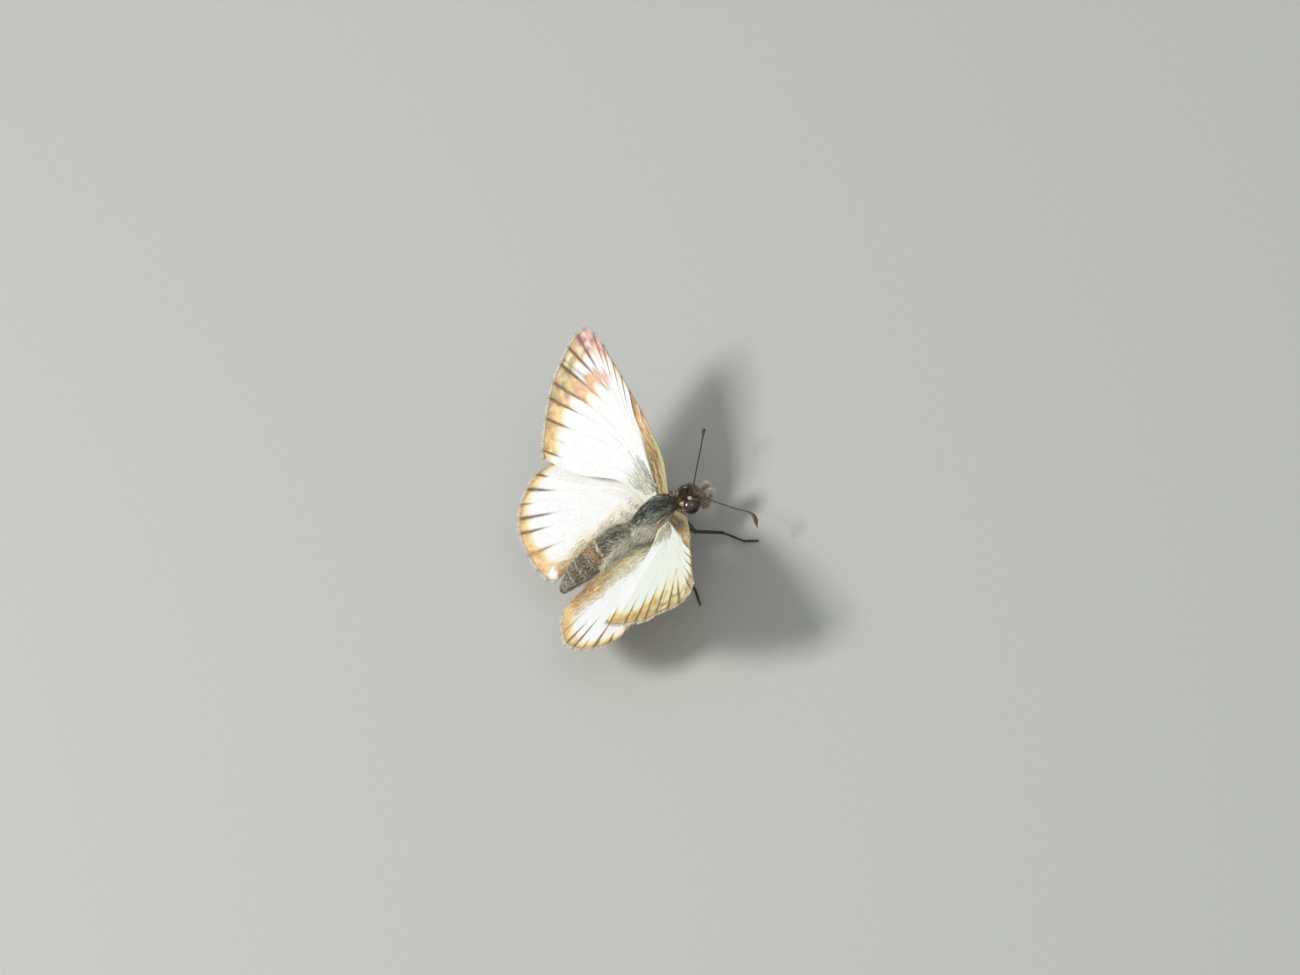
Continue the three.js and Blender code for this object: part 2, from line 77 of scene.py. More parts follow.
def unit(vectors):
    """The same directions with length one."""
    return vectors / np.maximum(np.linalg.norm(vectors, axis=-1, keepdims=True), 1e-9)


def turn_to(thing, right, toward):
    """Turns a camera or lamp so that its right side and its back point these two ways."""
    thing.rotation_euler = Matrix(np.stack([right, np.cross(toward, right), toward], axis=1)).to_euler()


toward_camera = unit(np.cross(VIEW_RIGHT, VIEW_UP))
view_right = unit(VIEW_RIGHT)
view_up = np.cross(toward_camera, view_right)
middle = (HINGE - view_right * HINGE_RIGHT_OF_MIDDLE + view_up * HINGE_BELOW_MIDDLE) * MM
bpy.ops.object.camera_add()
camera = bpy.context.object
camera.name = "camera"
turn_to(camera, view_right, toward_camera)
camera.location = middle + toward_camera * CAMERA_DISTANCE
camera.data.sensor_width = SENSOR_WIDTH
camera.data.lens = SENSOR_WIDTH * CAMERA_DISTANCE / VIEW_WIDTH
camera.data.clip_start = NEAR_CLIP
bpy.context.scene.camera = camera

# ---- Floor and light ----
# A sheet of pale matt card lies under the butterfly. One soft lamp stands behind and above it, a
# little to its left, a weaker one fills from the other side, and the room is a pale grey.


def linear(red, green, painted_glint):
    """Linear colour for a shade named by its 0 to 255 values."""
    share = np.array([red, green, painted_glint]) / 255
    return np.where(share <= 0.04045, share / 12.92, ((share + 0.055) / 1.055) ** 2.4)


def feed(tree, node, inputs):
    """Gives each input its value, or links it to the output that feeds it."""
    for name, value in inputs.items():
        if isinstance(value, bpy.types.NodeSocket):
            tree.links.new(value, node.inputs[name])
        else:
            node.inputs[name].default_value = value


def add_node(tree, kind, inputs=None, **settings):
    """The outputs of a new shader node."""
    node = tree.nodes.new("ShaderNode" + kind)
    for setting, value in settings.items():
        setattr(node, setting, value)
    feed(tree, node, inputs or {})
    return node.outputs


def scaled(tree, vector, factor):
    """A place or a colour times a factor."""
    return add_node(tree, "VectorMath", {0: vector, "Scale": factor}, operation="SCALE")["Vector"]


def two_tones(tree, share, low, high):
    """A colour between two shades."""
    ramp = tree.nodes.new("ShaderNodeValToRGB")
    for element, shade in zip(ramp.color_ramp.elements, (low, high)):
        element.color = (*linear(*shade), 1)
    feed(tree, ramp, {"Fac": share})
    return ramp.outputs["Color"]


def new_material(name, finish):
    """A material, with its tree, its shader and the place on it in millimetres."""
    material = bpy.data.materials.new(name)
    material.use_nodes = True
    tree = material.node_tree
    shader = tree.nodes["Principled BSDF"]
    feed(tree, shader, finish)
    return material, tree, shader, scaled(tree, add_node(tree, "TexCoord")["Object"], 1 / MM)


def add_bump(tree, shader, height, depth, strength=1.0):
    """Raises the surface by depth millimetres times a height from 0 to 1."""
    bump = add_node(tree, "Bump", {"Distance": depth * MM, "Strength": strength, "Height": height})
    feed(tree, shader, {"Normal": bump["Normal"]})


CARD_SIZE = 4.0
CARD_FIBRE = 0.35  # size of the card's mottling
card, tree, shader, at_mm = new_material("matt_card", {"Roughness": 0.9, "Specular IOR Level": 0.1})
fibre = add_node(tree, "TexNoise", {"Vector": at_mm, "Scale": 1 / CARD_FIBRE, "Detail": 3})["Fac"]
feed(tree, shader, {"Base Color": two_tones(tree, fibre, (180, 181, 177), (187, 188, 184))})
add_bump(tree, shader, fibre, 0.02)
bpy.ops.mesh.primitive_plane_add(size=CARD_SIZE)
floor = bpy.context.object
floor.name = "floor"
floor.data.materials.append(card)

LAMPS = [  # name, way to it (left, back, up), distance, size, watts, tint
    ("key_lamp", (0.6, 2.6, 3.6), 0.5, 0.16, 1.95, (1.0, 0.99, 0.96)),
    ("fill_lamp", (-2.6, -1.8, 2.6), 0.6, 0.4, 0.75, (0.94, 0.97, 1.0)),
]
for name, way, distance, size, watts, tint in LAMPS:
    toward = unit(np.array(way))
    bpy.ops.object.light_add(type="AREA", location=HINGE * MM + toward * distance)
    lamp = bpy.context.object
    lamp.name = name
    lamp.data.size = size
    lamp.data.energy = watts
    lamp.data.color = tint
    turn_to(lamp, unit(np.cross([0, 0, 1], toward)), toward)

ROOM_GREY = (0.80, 0.82, 0.85, 1)
ROOM_STRENGTH = 0.5
world = bpy.data.worlds.new("room")
world.use_nodes = True
room_light = world.node_tree.nodes["Background"]
feed(world.node_tree, room_light, {"Color": ROOM_GREY, "Strength": ROOM_STRENGTH})
bpy.context.scene.world = world
bpy.context.scene.view_settings.view_transform = "Standard"

# ---- Wings ----
# Each wing is a clear membrane a few hundredths of a millimetre thick, stiffened by veins that stand
# up as fine ridges and covered in rows of scales. It is hinged to the side of the thorax.

HINGE_OUT = 1.9
HINDWING_DROP = 1.2
CAMBER = 0.2
MEMBRANE = 0.07
EDGE_MEMBRANE = 0.025
VEIN_RIDGE = 0.028
VEIN_SOFTNESS = 0.07
PLEAT = 0.032  # sag of the membrane between two veins
LIFT = 0.18  # the membrane lies this far above the middle of its solid
FRINGE_SEAT = 0.14  # the membrane ends this far inside the tips of its fringe
CELL_END = 2 / 3  # share of a vein's length at which the closed cell ends
WING_ROWS = 128  # from root to margin
ROW_CROWDING = 1.25  # above 1, the rows crowd toward the margin
COLUMN_STEP = 0.11  # between columns at the margin
PLAN_SIZE = 20  # width of the plan on the wings' map

WING_POSES = {  # dihedral, pitch and sweep in degrees, side, drop
    "forewing_left": (18.1, 6.2, 0.4, 1, 0.0),
    "forewing_right": (19.9, 7.9, -1.7, -1, 0.0),
    "hindwing_left": (12.6, 0.5, -0.2, 1, HINDWING_DROP),
    "hindwing_right": (14.6, 2.2, 1.2, -1, HINDWING_DROP),
}

SHADES = {
    "white": linear(240, 241, 240),
    "cream": linear(244, 234, 206),
    "butter": linear(240, 221, 170),
    "gold": linear(226, 198, 142),
    "orange": linear(230, 186, 134),
    "flame": linear(230, 180, 150),
    "brown": linear(162, 134, 92),
    "olive": linear(196, 178, 130),
    "rose": linear(226, 188, 168),
    "pink": linear(214, 166, 168),
    "purple": linear(134, 98, 98),
    "umber": linear(108, 86, 62),
    "dusk": linear(112, 98, 80),
    "tan": linear(210, 186, 142),
    "rust": linear(192, 146, 98),
    "smoke": linear(218, 219, 200),
    # a greyer white, painted shade on the fore half of the right forewing
    "pearl": linear(228, 233, 222),
    "amber": linear(206, 164, 98),
}

# Plans are [out from the hinge, aft of the hinge]. Every vein: two points on its way, the height of
# its ridge as a share, then the reach and half width of the dark ray that runs in from the margin
# along it, and the ray's shade. Every space between two veins: shades from the margin inward, each
# after its distance from the margin. The fringe grows behind the vein of the number given, and the
# inner fold is the height to which the inner edge curls up.
FOREWING = {
    "root": [(-0.8, 0.3), (-0.8, 2.1)],
    "margin": [
        (6.0, -0.94), (7.5, -0.96), (9.2, -0.91), (10.7, -0.86), (12.2, -0.78), (14.0, -0.62),
        (15.5, -0.34), (16.42, 0.2), (16.5, 0.95), (15.95, 2.05), (15.1, 3.25), (14.15, 4.52),
        (13.15, 5.42), (11.8, 6.48), (9.65, 7.95), (8.9, 8.2),
    ],
    "veins": {
        "costa": ((2.0, -0.66), (4.1, -0.88), 0.9, 0, 0, "brown"),
        "subcosta": ((2.9, -0.42), (5.2, -0.6), 0.9, 0, 0, "brown"),
        "radius 1": ((3.9, -0.16), (6.5, -0.2), 1.0, 2.2, 0.13, "purple"),
        "radius 2": ((3.95, -0.03), (7.5, -0.06), 0.9, 3.3, 0.15, "purple"),
        "radius 3": ((4.0, 0.1), (8.4, 0.08), 0.8, 3.1, 0.15, "purple"),
        "radius 4": ((4.0, 0.23), (9.2, 0.24), 0.8, 3.7, 0.16, "purple"),
        "fore fold of the apex": ((4.01, 0.3), (9.5, 0.34), 0.5, 3.8, 0.13, "purple"),
        "hind fold of the apex": ((4.03, 0.37), (9.8, 0.44), 0.0, 0, 0, "rose"),
        "radius 5": ((4.05, 0.46), (10.1, 0.56), 0.9, 5.0, 0.17, "purple"),
        "media 1": ((4.05, 0.64), (10.3, 0.78), 0.8, 5.0, 0.16, "umber"),
        "media 2": ((4.0, 0.95), (9.95, 1.6), 0.8, 5.3, 0.17, "umber"),
        "media 3": ((3.8, 1.3), (9.3, 2.4), 0.9, 4.7, 0.19, "purple"),
        "cubitus 1": ((3.68, 1.5), (8.0, 2.7), 1.0, 4.0, 0.17, "umber"),
        "cubitus 2": ((3.5, 1.75), (6.3, 3.0), 1.0, 3.2, 0.15, "umber"),
        "anal vein": ((3.2, 2.7), (6.4, 5.7), 0.9, 2.3, 0.13, "umber"),
        "inner margin": ((2.7, 3.3), (5.75, 6.25), 0.0, 0, 0, "brown"),
    },
    "from cell": (9, 10),  # these veins start at the cell's end, where a cross vein joins them
    "cross vein": (8, 12),
    "spaces": [
        "0 brown, 1.5 brown, 6 tan",
        "0 brown, 1.5 brown, 6 tan",
        "0 brown, 0.15 gold, 0.4 cream, 0.8 white",
        "0 brown, 0.2 orange, 0.6 cream, 1.3 white",
        "0 brown, 0.3 rose, 0.8 cream, 1.5 white",
        "0 rose, 0.6 pink, 1.4 rose, 1.9 cream, 2.4 white",
        "0 rose, 0.8 pink, 1.7 rose, 2.3 cream, 2.8 white, 4.0 white, 4.6 pink, 5.2 rose, 5.9 white",
        "0 olive, 0.3 rose, 0.9 pink, 1.3 cream, 1.8 pink, 2.4 cream, 2.9 white, 4.1 white, 4.7 pink, "
        "5.3 flame, 6.0 white",
        "0 olive, 0.3 tan, 0.8 rose, 1.4 butter, 1.9 pink, 2.3 cream, 2.7 white, 3.8 white, 4.3 flame, "
        "5.1 rose, 5.8 cream, 6.3 white",
        "0 brown, 0.25 tan, 0.6 cream, 0.9 olive, 1.3 tan, 1.7 cream, 2.0 white, 3.1 white, 3.6 flame, "
        "4.4 orange, 4.9 cream, 5.5 white",
        "0 brown, 0.15 tan, 0.5 tan, 1.0 olive, 1.5 gold, 2.1 tan, 2.7 flame, 3.3 orange, 3.8 cream, "
        "4.4 white",
        "0 brown, 0.15 olive, 0.5 olive, 1.0 tan, 1.5 gold, 2.0 flame, 2.4 cream, 3.0 white",
        "0 brown, 0.15 olive, 0.45 tan, 0.9 orange, 1.3 gold, 1.7 cream, 2.2 white",
        "0 brown, 0.15 olive, 0.5 orange, 1.0 gold, 1.5 cream, 2.0 white",
        "0 brown, 0.3 gold, 0.7 butter, 1.1 white",
    ],
    "fringe from": 5,
    "inner fold": 0.0,
}

HINDWING = {
    "root": [(-0.8, 2.0), (-0.75, 3.9)],
    "margin": [
        (8.9, 6.7), (9.45, 7.95), (9.35, 9.45), (8.65, 10.75), (7.7, 11.75), (6.55, 12.4),
        (5.3, 12.9), (3.05, 13.0), (1.4, 12.86), (0.1, 12.5), (-0.55, 11.9),
    ],
    "veins": {
        "costa": ((3.5, 2.75), (6.6, 4.4), 0.8, 0, 0, "tan"),
        "subcosta": ((3.2, 3.1), (6.2, 5.2), 0.9, 0.8, 0.12, "dusk"),
        "radial sector": ((2.85, 3.5), (5.7, 6.4), 0.9, 1.4, 0.17, "umber"),
        "media 1": ((2.65, 3.72), (5.35, 6.9), 0.9, 3.3, 0.17, "umber"),
        "media 2": ((2.3, 3.95), (4.8, 7.35), 0.6, 1.3, 0.12, "dusk"),
        "media 3": ((1.9, 4.1), (4.0, 7.65), 0.9, 3.9, 0.17, "umber"),
        "cubitus 1": ((1.68, 4.2), (3.1, 7.75), 1.0, 3.1, 0.16, "umber"),
        "cubitus 2": ((1.42, 4.28), (1.75, 7.3), 1.0, 3.4, 0.15, "rust"),
        "first anal vein": ((0.65, 4.5), (0.1, 7.9), 0.9, 0, 0, "rust"),
        "second anal vein": ((0.1, 4.6), (-0.2, 7.9), 0.9, 0, 0, "rust"),
        "inner margin": ((-0.55, 4.7), (-0.42, 8.0), 0.0, 0, 0, "rust"),
    },
    "from cell": (4,),
    "cross vein": (3, 5),
    "spaces": [
        "0 tan, 0.3 cream, 0.7 white",
        "0 olive, 0.3 gold, 0.6 cream, 0.9 white",
        "0 tan, 0.3 olive, 0.6 butter, 0.85 cream, 1.1 white",
        "0 tan, 0.25 olive, 0.5 butter, 0.8 cream, 1.0 white",
        "0 tan, 0.25 gold, 0.5 butter, 0.75 cream, 1.0 white",
        "0 tan, 0.25 olive, 0.6 gold, 0.85 butter, 1.2 white",
        "0 tan, 0.15 orange, 0.5 gold, 0.85 butter, 1.2 white",
        "0 tan, 0.15 orange, 0.8 gold, 1.2 butter, 1.7 white",
        "0 orange, 0.8 gold, 1.6 orange, 4.0 gold, 5.5 butter, 7.5 cream",
        "0 cream, 0.2 tan, 0.6 rust, 5.0 rust, 6.5 tan, 8.0 cream",
    ],
    "fringe from": 2,
    "inner fold": 0.75,
}


def smooth_path(points, shares):
    """Points on the centripetal Catmull-Rom curve through points, at shares of its length from 0 to 1."""
    points = np.asarray(points, float)
    ends = np.vstack([2 * points[0] - points[1], points, 2 * points[-1] - points[-2]])
    along = np.clip(np.asarray(shares, float) * (len(points) - 1), 0, len(points) - 1 - 1e-9)
    k = along.astype(int)
    w = (along - k)[..., None]
    a, b, c, d = ends[k], ends[k + 1], ends[k + 2], ends[k + 3]
    gap = [np.maximum(np.linalg.norm(q - p, axis=-1, keepdims=True) ** 0.5, 1e-4)
           for p, q in ((a, b), (b, c), (c, d))]
    start = ((b - a) / gap[0] - (c - a) / (gap[0] + gap[1]) + (c - b) / gap[1]) * gap[1]
    stop = ((c - b) / gap[1] - (d - b) / (gap[1] + gap[2]) + (d - c) / gap[2]) * gap[1]
    cubic = 2 * b - 2 * c + start + stop
    square = -3 * b + 3 * c - 2 * start - stop
    return cubic * w**3 + square * w**2 + start * w + b


def smooth_step(low, high, value):
    """A soft rise from 0 at low to 1 at high."""
    t = np.clip((value - low) / (high - low), 0, 1)
    return t * t * (3 - 2 * t)


def lay_out_wing(plan):
    """The wing's plan as a grid of rows from root to margin and columns from leading to inner edge."""
    margin = np.array(plan["margin"])
    last = len(margin) - 1
    root, inner_root = np.array(plan["root"])
    rows = 1 - (1 - np.linspace(0, 1, WING_ROWS + 1)) ** ROW_CROWDING
    has_fringe = smooth_step(plan["fringe from"] - 1, plan["fringe from"] + 1, np.arange(last + 1))
    spines, shares = [], []
    for k, (half_cell, cell_end, *_) in enumerate(plan["veins"].values()):
        way = [root + (inner_root - root) * k / last, half_cell, cell_end, margin[k]]
        # the length that one whole share would have at the pace of the last 0.03 of the way
        tail = np.linalg.norm(np.subtract(*smooth_path(way, [1.0, 0.97]))) / 0.03
        shares.append(rows * (1 - has_fringe[k] * FRINGE_SEAT / tail))
        spines.append(smooth_path(way, shares[k]))
    columns = []
    for k in range(last):
        steps = int(np.clip(round(np.linalg.norm(margin[k + 1] - margin[k]) / COLUMN_STEP), 7, 24))
        width = np.linalg.norm(spines[k + 1] - spines[k], axis=1)
        for step in range(steps + (k == last - 1)):
            f = 0.5 - 0.5 * math.cos(math.pi * step / steps)
            share = shares[k] * (1 - f) + shares[k + 1] * f
            # of the solid's eleven rows, three, four and four lie on each third of a vein
            reach = np.interp(share, [0, 1 / 3, 2 / 3, 1], [0, 3 / 11, 7 / 11, 1])
            bulge = smooth_path(margin, (k + f) / last) - (margin[k] * (1 - f) + margin[k + 1] * f)
            line = spines[k] * (1 - f) + spines[k + 1] * f + bulge * (reach**3)[:, None]
            columns.append({"place": line, "order": np.full(len(rows), k + f), "share": share,
                            "reach": reach, "to_fore": width * f, "to_hind": width * (1 - f)})
    grid = {key: np.stack([column[key] for column in columns], axis=1) for key in columns[0]}
    grid["space"] = np.minimum(grid["order"].astype(int), last - 1)
    steps = np.linalg.norm(np.diff(grid["place"], axis=0), axis=2)
    grid["edge"] = np.vstack([np.cumsum(steps[::-1], axis=0)[::-1], np.zeros(steps.shape[1])])
    grid["width"] = grid["to_fore"] + grid["to_hind"]
    grid["across"] = grid["to_fore"] / np.maximum(grid["width"], 1e-6)
    return grid


def from_vein(grid, k):
    """Distance from one vein over the two spaces beside it. All other places are far away."""
    behind = np.where(grid["space"] == k - 1, grid["to_hind"], 9.0)
    return np.where(grid["space"] == k, grid["to_fore"], behind)


def wing_heights(plan, grid, seed):
    """Height of the wing's mid surface, and of its vein ridges, over the whole grid."""
    x, order, share, reach = grid["place"][..., 0], grid["order"], grid["share"], grid["reach"]
    span = max(out for out, _ in plan["margin"])
    bow = CAMBER * np.sin(np.pi * np.clip(x / span, 0, 1))
    crease = len(plan["veins"]) - 3
    curl = plan["inner fold"] * np.maximum(0, (order - crease) / 2) * np.sin(np.pi * reach)
    pleat = -PLEAT * np.sin(np.pi * grid["across"]) * smooth_step(0.15, 1.4, grid["width"])
    phase = np.random.default_rng(seed).uniform(0, 2 * np.pi, 3)
    flutter = 0.07 * np.sin(order * 0.9 + phase[0]) + 0.04 * np.sin(order * 2.3 + phase[1])
    ripple = 0.012 * np.sin(share * 23 + order * 1.7 + phase[2]) * smooth_step(0.2, 0.6, share)
    ridge = np.zeros_like(x)
    for k, (_, _, rise, *_) in enumerate(plan["veins"].values()):
        beyond_cell = smooth_step(CELL_END - 0.02, CELL_END + 0.02, share) if k in plan["from cell"] else 1.0
        line = np.exp(-((from_vein(grid, k) / VEIN_SOFTNESS) ** 2))
        ridge = np.maximum(ridge, rise * (1 - 0.5 * share) * beyond_cell * line)
    cross = (order > plan["cross vein"][0]) & (order < plan["cross vein"][1])
    to_cell_end = (share - CELL_END) * grid["edge"][0]
    ridge = np.maximum(ridge, 0.5 * cross * np.exp(-((to_cell_end / VEIN_SOFTNESS) ** 2)))
    return bow + curl + pleat + flutter * reach**4 + ripple + LIFT, VEIN_RIDGE * ridge


def mix(a, b, share):
    """From one shade to another by a share for each place."""
    return a + (b - a) * np.clip(np.asarray(share), 0, 1)[..., None]


def layers(shade, *coats):
    """Lays shades over a first one, each with its share for each place."""
    for tone, share in coats:
        shade = mix(shade, tone, share)
    return shade


def flecks(draw, shape, length):
    """Uneven shading drawn out along the veins: a value of about -1 to 1 for each place of a grid."""
    noise = draw.normal(0, 1, (shape[0] + length - 1, shape[1] + 2))
    noise = np.stack([np.convolve(column, np.ones(length), "valid") for column in noise.T], axis=1)
    noise = (noise[:, :-2] + 2 * noise[:, 1:-1] + noise[:, 2:]) / 4
    return np.clip(noise / (2 * noise.std()), -1, 1)


# the rosy tones of the left wings are painted light, a rosy cast of the light falling on them; the right
# wings take plainer tones
RIGHT_TONES = {  # the right wings are less rosy than the left ones
    "pink": "olive", "flame": "gold", "rose": "tan", "purple": "umber", "orange": "amber", "tan": "amber",
}


def paint_wing(plan, grid, seed, side):
    """Colour of the upper scales over the grid, by the spaces' shades and the veins' rays."""
    tones = {name: SHADES[RIGHT_TONES.get(name, name) if side < 0 else name] for name in SHADES}
    edge = grid["edge"]
    draw = np.random.default_rng(seed)
    wander = draw.uniform(0.9, 1.1, len(plan["spaces"]))
    shade = np.zeros((*edge.shape, 3))
    for k, space in enumerate(plan["spaces"]):
        inside = grid["space"] == k
        # a dark edge reaches further in beside the veins than in the middle of the space
        off_middle = np.abs(2 * grid["across"][inside] - 1)
        from_margin = edge[inside] * wander[k] * (1.12 - 0.3 * off_middle**2)
        marks = [float(mark) for mark in space.split()[::2]]
        names = space.replace(",", "").split()[1::2]
        if side < 0 and plan is FOREWING:
            # the right forewing has no warm bar, and its tip is browner
            for stop, mark in enumerate(marks[:-1]):
                if mark > 3 and names[stop] != "white":
                    names[stop] = "cream"
                elif mark < 3.2 and names[stop] == "white" and k > 6:
                    names[stop] = "butter"
            names[-1] = "white"
        for channel in range(3):
            levels = [tones[name][channel] for name in names]
            shade[..., channel][inside] = np.interp(from_margin, marks, levels)
    for k, (_, _, _, reach, half_width, tone) in enumerate(plan["veins"].values()):
        distance = from_vein(grid, k)
        shade = mix(shade, SHADES["cream"], 0.16 * np.exp(-((distance / 0.06) ** 2)))
        if reach:
            left = np.clip(1 - edge / reach, 0, 1)
            halo = np.clip((2.4 * half_width * left**1.3 - distance) / 0.2 + 0.3, 0, 1) * (left > 0)
            core = np.clip((0.86 * half_width * left**0.6 - distance) / 0.09 + 0.5, 0, 1) * (left > 0)
            shade = layers(shade, (SHADES["brown"], 0.42 * halo * smooth_step(0.15, 0.9, left)),
                           (tones[tone], 0.85 * core * smooth_step(0, 0.5, left)))
    coloured = 1 - smooth_step(0.35, 0.85, shade.mean(axis=2))
    shade = shade * (1 + 0.3 * flecks(draw, edge.shape, 5) * coloured)[..., None]
    first = plan["fringe from"]
    rim = smooth_step(0.16, 0.02, edge) * smooth_step(first - 2, first, grid["order"])
    return mix(shade, SHADES["brown"], 0.5 * rim)


def paint_strokes(shade, grid, *strokes):
    """Soft strokes on the plan: path, half width, shade, strength and softness of each."""
    for path, half_width, tone, strength, softness in strokes:
        line = smooth_path(path, np.linspace(0, 1, 24))
        distance = np.linalg.norm(grid["place"][..., None, :] - line, axis=-1).min(axis=-1)
        cover = np.clip((half_width - distance) / softness + 0.5, 0, 1)
        shade = mix(shade, SHADES[tone], strength * cover)
    return shade


HALF_RAYS = [  # half way between the first and second media, and before the anal vein
    ([(15.4, 2.85), (13.9, 2.35), (12.5, 1.88)], 0.07, "umber", 0.8, 0.12),
    ([(10.75, 7.2), (9.8, 6.6), (8.9, 6.0)], 0.06, "umber", 0.6, 0.1),
]
WARM_BAR = ([(11.35, 0.0), (11.6, 0.8), (11.9, 1.5), (12.2, 2.3)], 0.4, "flame", 0.35, 0.7)
DUSKY_SPOT = ([(11.3, 1.0), (10.7, 0.75), (10.3, 0.62)], 0.06, "dusk", 0.4, 0.2)
FOLD_LINE = ([(0.4, 0.33), (2.8, -0.42), (4.8, -0.62)], 0.03, "umber", 0.45, 0.1)
DUSKY_STREAKS = [
    ([(0.7, 1.05), (1.8, 0.95), (3.0, 0.92)], 0.8), ([(1.0, 1.3), (2.2, 1.22), (3.4, 1.26)], 0.6),
    ([(1.5, 1.1), (2.5, 1.08), (3.7, 1.1)], 0.6), ([(1.2, 1.55), (2.4, 1.55), (3.2, 1.6)], 0.45),
    ([(0.5, 1.35), (1.0, 1.5), (1.6, 1.7)], 0.5), ([(2.4, 1.45), (3.6, 1.5), (4.5, 1.57)], 0.3),
]
STRIPE_EDGE = [0.0, 1.1, 3.5, 5.4, 6.6, 8.0, 9.4], [1.2, 0.87, 0.36, -0.09, -0.45, -0.72, -1.0]
FOLD_EDGE = [0.0, 0.34, 2.8, 4.8, 6.4], [0.45, 0.25, -0.48, -0.68, -1.02]


def paint_forewing(grid, side):
    """The forewing's upper side: its stripe and fold, the grey-green over its foot, part scales and part
    painted shade, and painted shade on the right wing.
    """
    shade = paint_wing(FOREWING, grid, 11 + side, side)
    x, y = grid["place"][..., 0], grid["place"][..., 1]
    shade = paint_strokes(shade, grid, *HALF_RAYS, *([WARM_BAR] if side > 0 else []), DUSKY_SPOT)
    # the brown stripe along the leading edge is streaked, and has the pale costal fold before it
    behind = y - np.interp(x, *STRIPE_EDGE)
    soft = 0.1 + 0.16 * smooth_step(1.0, 6.0, x)
    stripe = smooth_step(soft, -soft, behind) * smooth_step(9.4, 6.2, x)
    ripple = 15 * behind + 1.6 * np.sin(1.3 * x) + 1.1 * np.sin(3.7 * x + 2 * y)
    streaks = 0.5 + 0.5 * np.sin(ripple + 0.7 * np.sin(9.1 * x))
    warm = smooth_step(2.0, 6.5, x)
    ground = layers(linear(142, 120, 80), (linear(222, 182, 142), warm),
                    (linear(214, 194, 146), (0.6 - 0.3 * warm) * streaks**2))
    ground = ground * (1 + 0.5 * flecks(np.random.default_rng(31), x.shape, 9))[..., None]
    by_edge = smooth_step(-0.36, -0.04, behind) * (1 - warm)
    ground = mix(ground, linear(92, 74, 46), 0.65 * by_edge)
    # painted shade: the stripe of the right forewing faces away from the light, so it is painted darker
    if side < 0:
        ground = ground * mix(np.array([0.34, 0.30, 0.20]), np.array([0.8, 0.82, 0.7]), warm)
    shade = mix(shade, 0, stripe) + ground * stripe[..., None]
    fold = smooth_step(0.09, -0.09, y - np.interp(x, *FOLD_EDGE))
    # the costal fold is painted darker on the right forewing, also as painted shade
    shade = mix(shade, linear(200, 186, 132) * (1.0 if side > 0 else 0.6), 0.8 * fold)
    shade = paint_strokes(shade, grid, FOLD_LINE)
    hem = smooth_step(0.1, 0.02, grid["to_fore"] + 9.0 * (grid["order"] > 0.9)) * (x < 14)
    # grey-green over the foot of the wing: partly its own scales, partly painted shade where it lies over
    # the hindwing
    bloom = smooth_step(2.0, 0.4, np.hypot((x - 1.7) / 1.15, (y - 2.1) / 0.85))
    shade = layers(shade, (SHADES["brown"], 0.6 * hem), (SHADES["smoke"], 0.75 * bloom * (1 - stripe)),
                   (SHADES["smoke"], 0.5 * smooth_step(1.6, 0.4, x) * (1 - stripe)))
    shade = paint_strokes(shade, grid, *((path, 0.07, "dusk", dark, 0.2) for path, dark in DUSKY_STREAKS))
    if side < 0:
        # painted shade: the fore half of the right forewing, in less light, is painted a greyer white
        painted_fore_shade = smooth_step(0.3, -0.3, y - 3.3 - 0.795 * (x - 5.1))
        shade = shade * mix(np.ones(3), SHADES["pearl"] / SHADES["white"], painted_fore_shade)
    return shade


INNER_STROKES = [
    ([(0.35, 12.8), (0.0, 11.4), (-0.12, 9.5), (0.1, 7.5)], 0.07, "rust", 0.6, 0.12),
    ([(1.9, 4.6), (1.15, 7.0), (0.85, 9.5), (1.1, 11.4)], 0.12, "gold", 0.5, 0.4),
    ([(0.5, 2.9), (2.2, 3.6), (4.1, 5.2)], 0.12, "rose", 0.3, 0.5),
]
CORNER_SPOT = ([(0.45, 11.75), (0.2, 11.95), (0.05, 11.7)], 0.34, "white", 1.0, 0.3)


def paint_hindwing(grid, side):
    """The hindwing's upper side: its warm inner edge, and a white spot or a golden corner."""
    shade = paint_wing(HINDWING, grid, 21 + side, side)
    x, y = grid["place"][..., 0], grid["place"][..., 1]
    uneven = x + (0.25 * np.sin(2.1 * y) + 0.12 * np.sin(5.3 * y + 1.0))
    cream = smooth_step(2.3, 0.9, uneven) * smooth_step(11.0, 8.5, y)
    shade = layers(shade, (SHADES["butter"], 0.5 * cream),
                   (SHADES["olive"], 0.3 * smooth_step(1.3, 0.3, uneven) * smooth_step(10.5, 8.0, y)))
    shade = paint_strokes(shade, grid, *INNER_STROKES)
    if side > 0:
        shade = paint_strokes(shade, grid, CORNER_SPOT)
    else:
        golden = smooth_step(2.6, 1.2, uneven) * smooth_step(8.6, 10.8, y)
        shade = mix(shade, SHADES["gold"], 0.7 * golden)
    return mix(shade, SHADES["smoke"], 0.4 * smooth_step(3.2, 0.5, np.hypot(x, (y - 2.6) * 0.6)))


def paint_underside(grid):
    """The lower scales: cream, with tan veins and two faint brown bands."""
    edge, near = grid["edge"], np.minimum(grid["to_fore"], grid["to_hind"])
    return layers(SHADES["cream"], (SHADES["white"], 0.5 * smooth_step(1.0, 4.0, edge)),
                  (SHADES["tan"], 0.75 * np.exp(-((near / 0.1) ** 2))),
                  (SHADES["olive"], 0.55 * smooth_step(0.9, 0.2, edge)),
                  (SHADES["tan"], 0.45 * np.exp(-(((edge - 3.2) / 0.55) ** 2))))


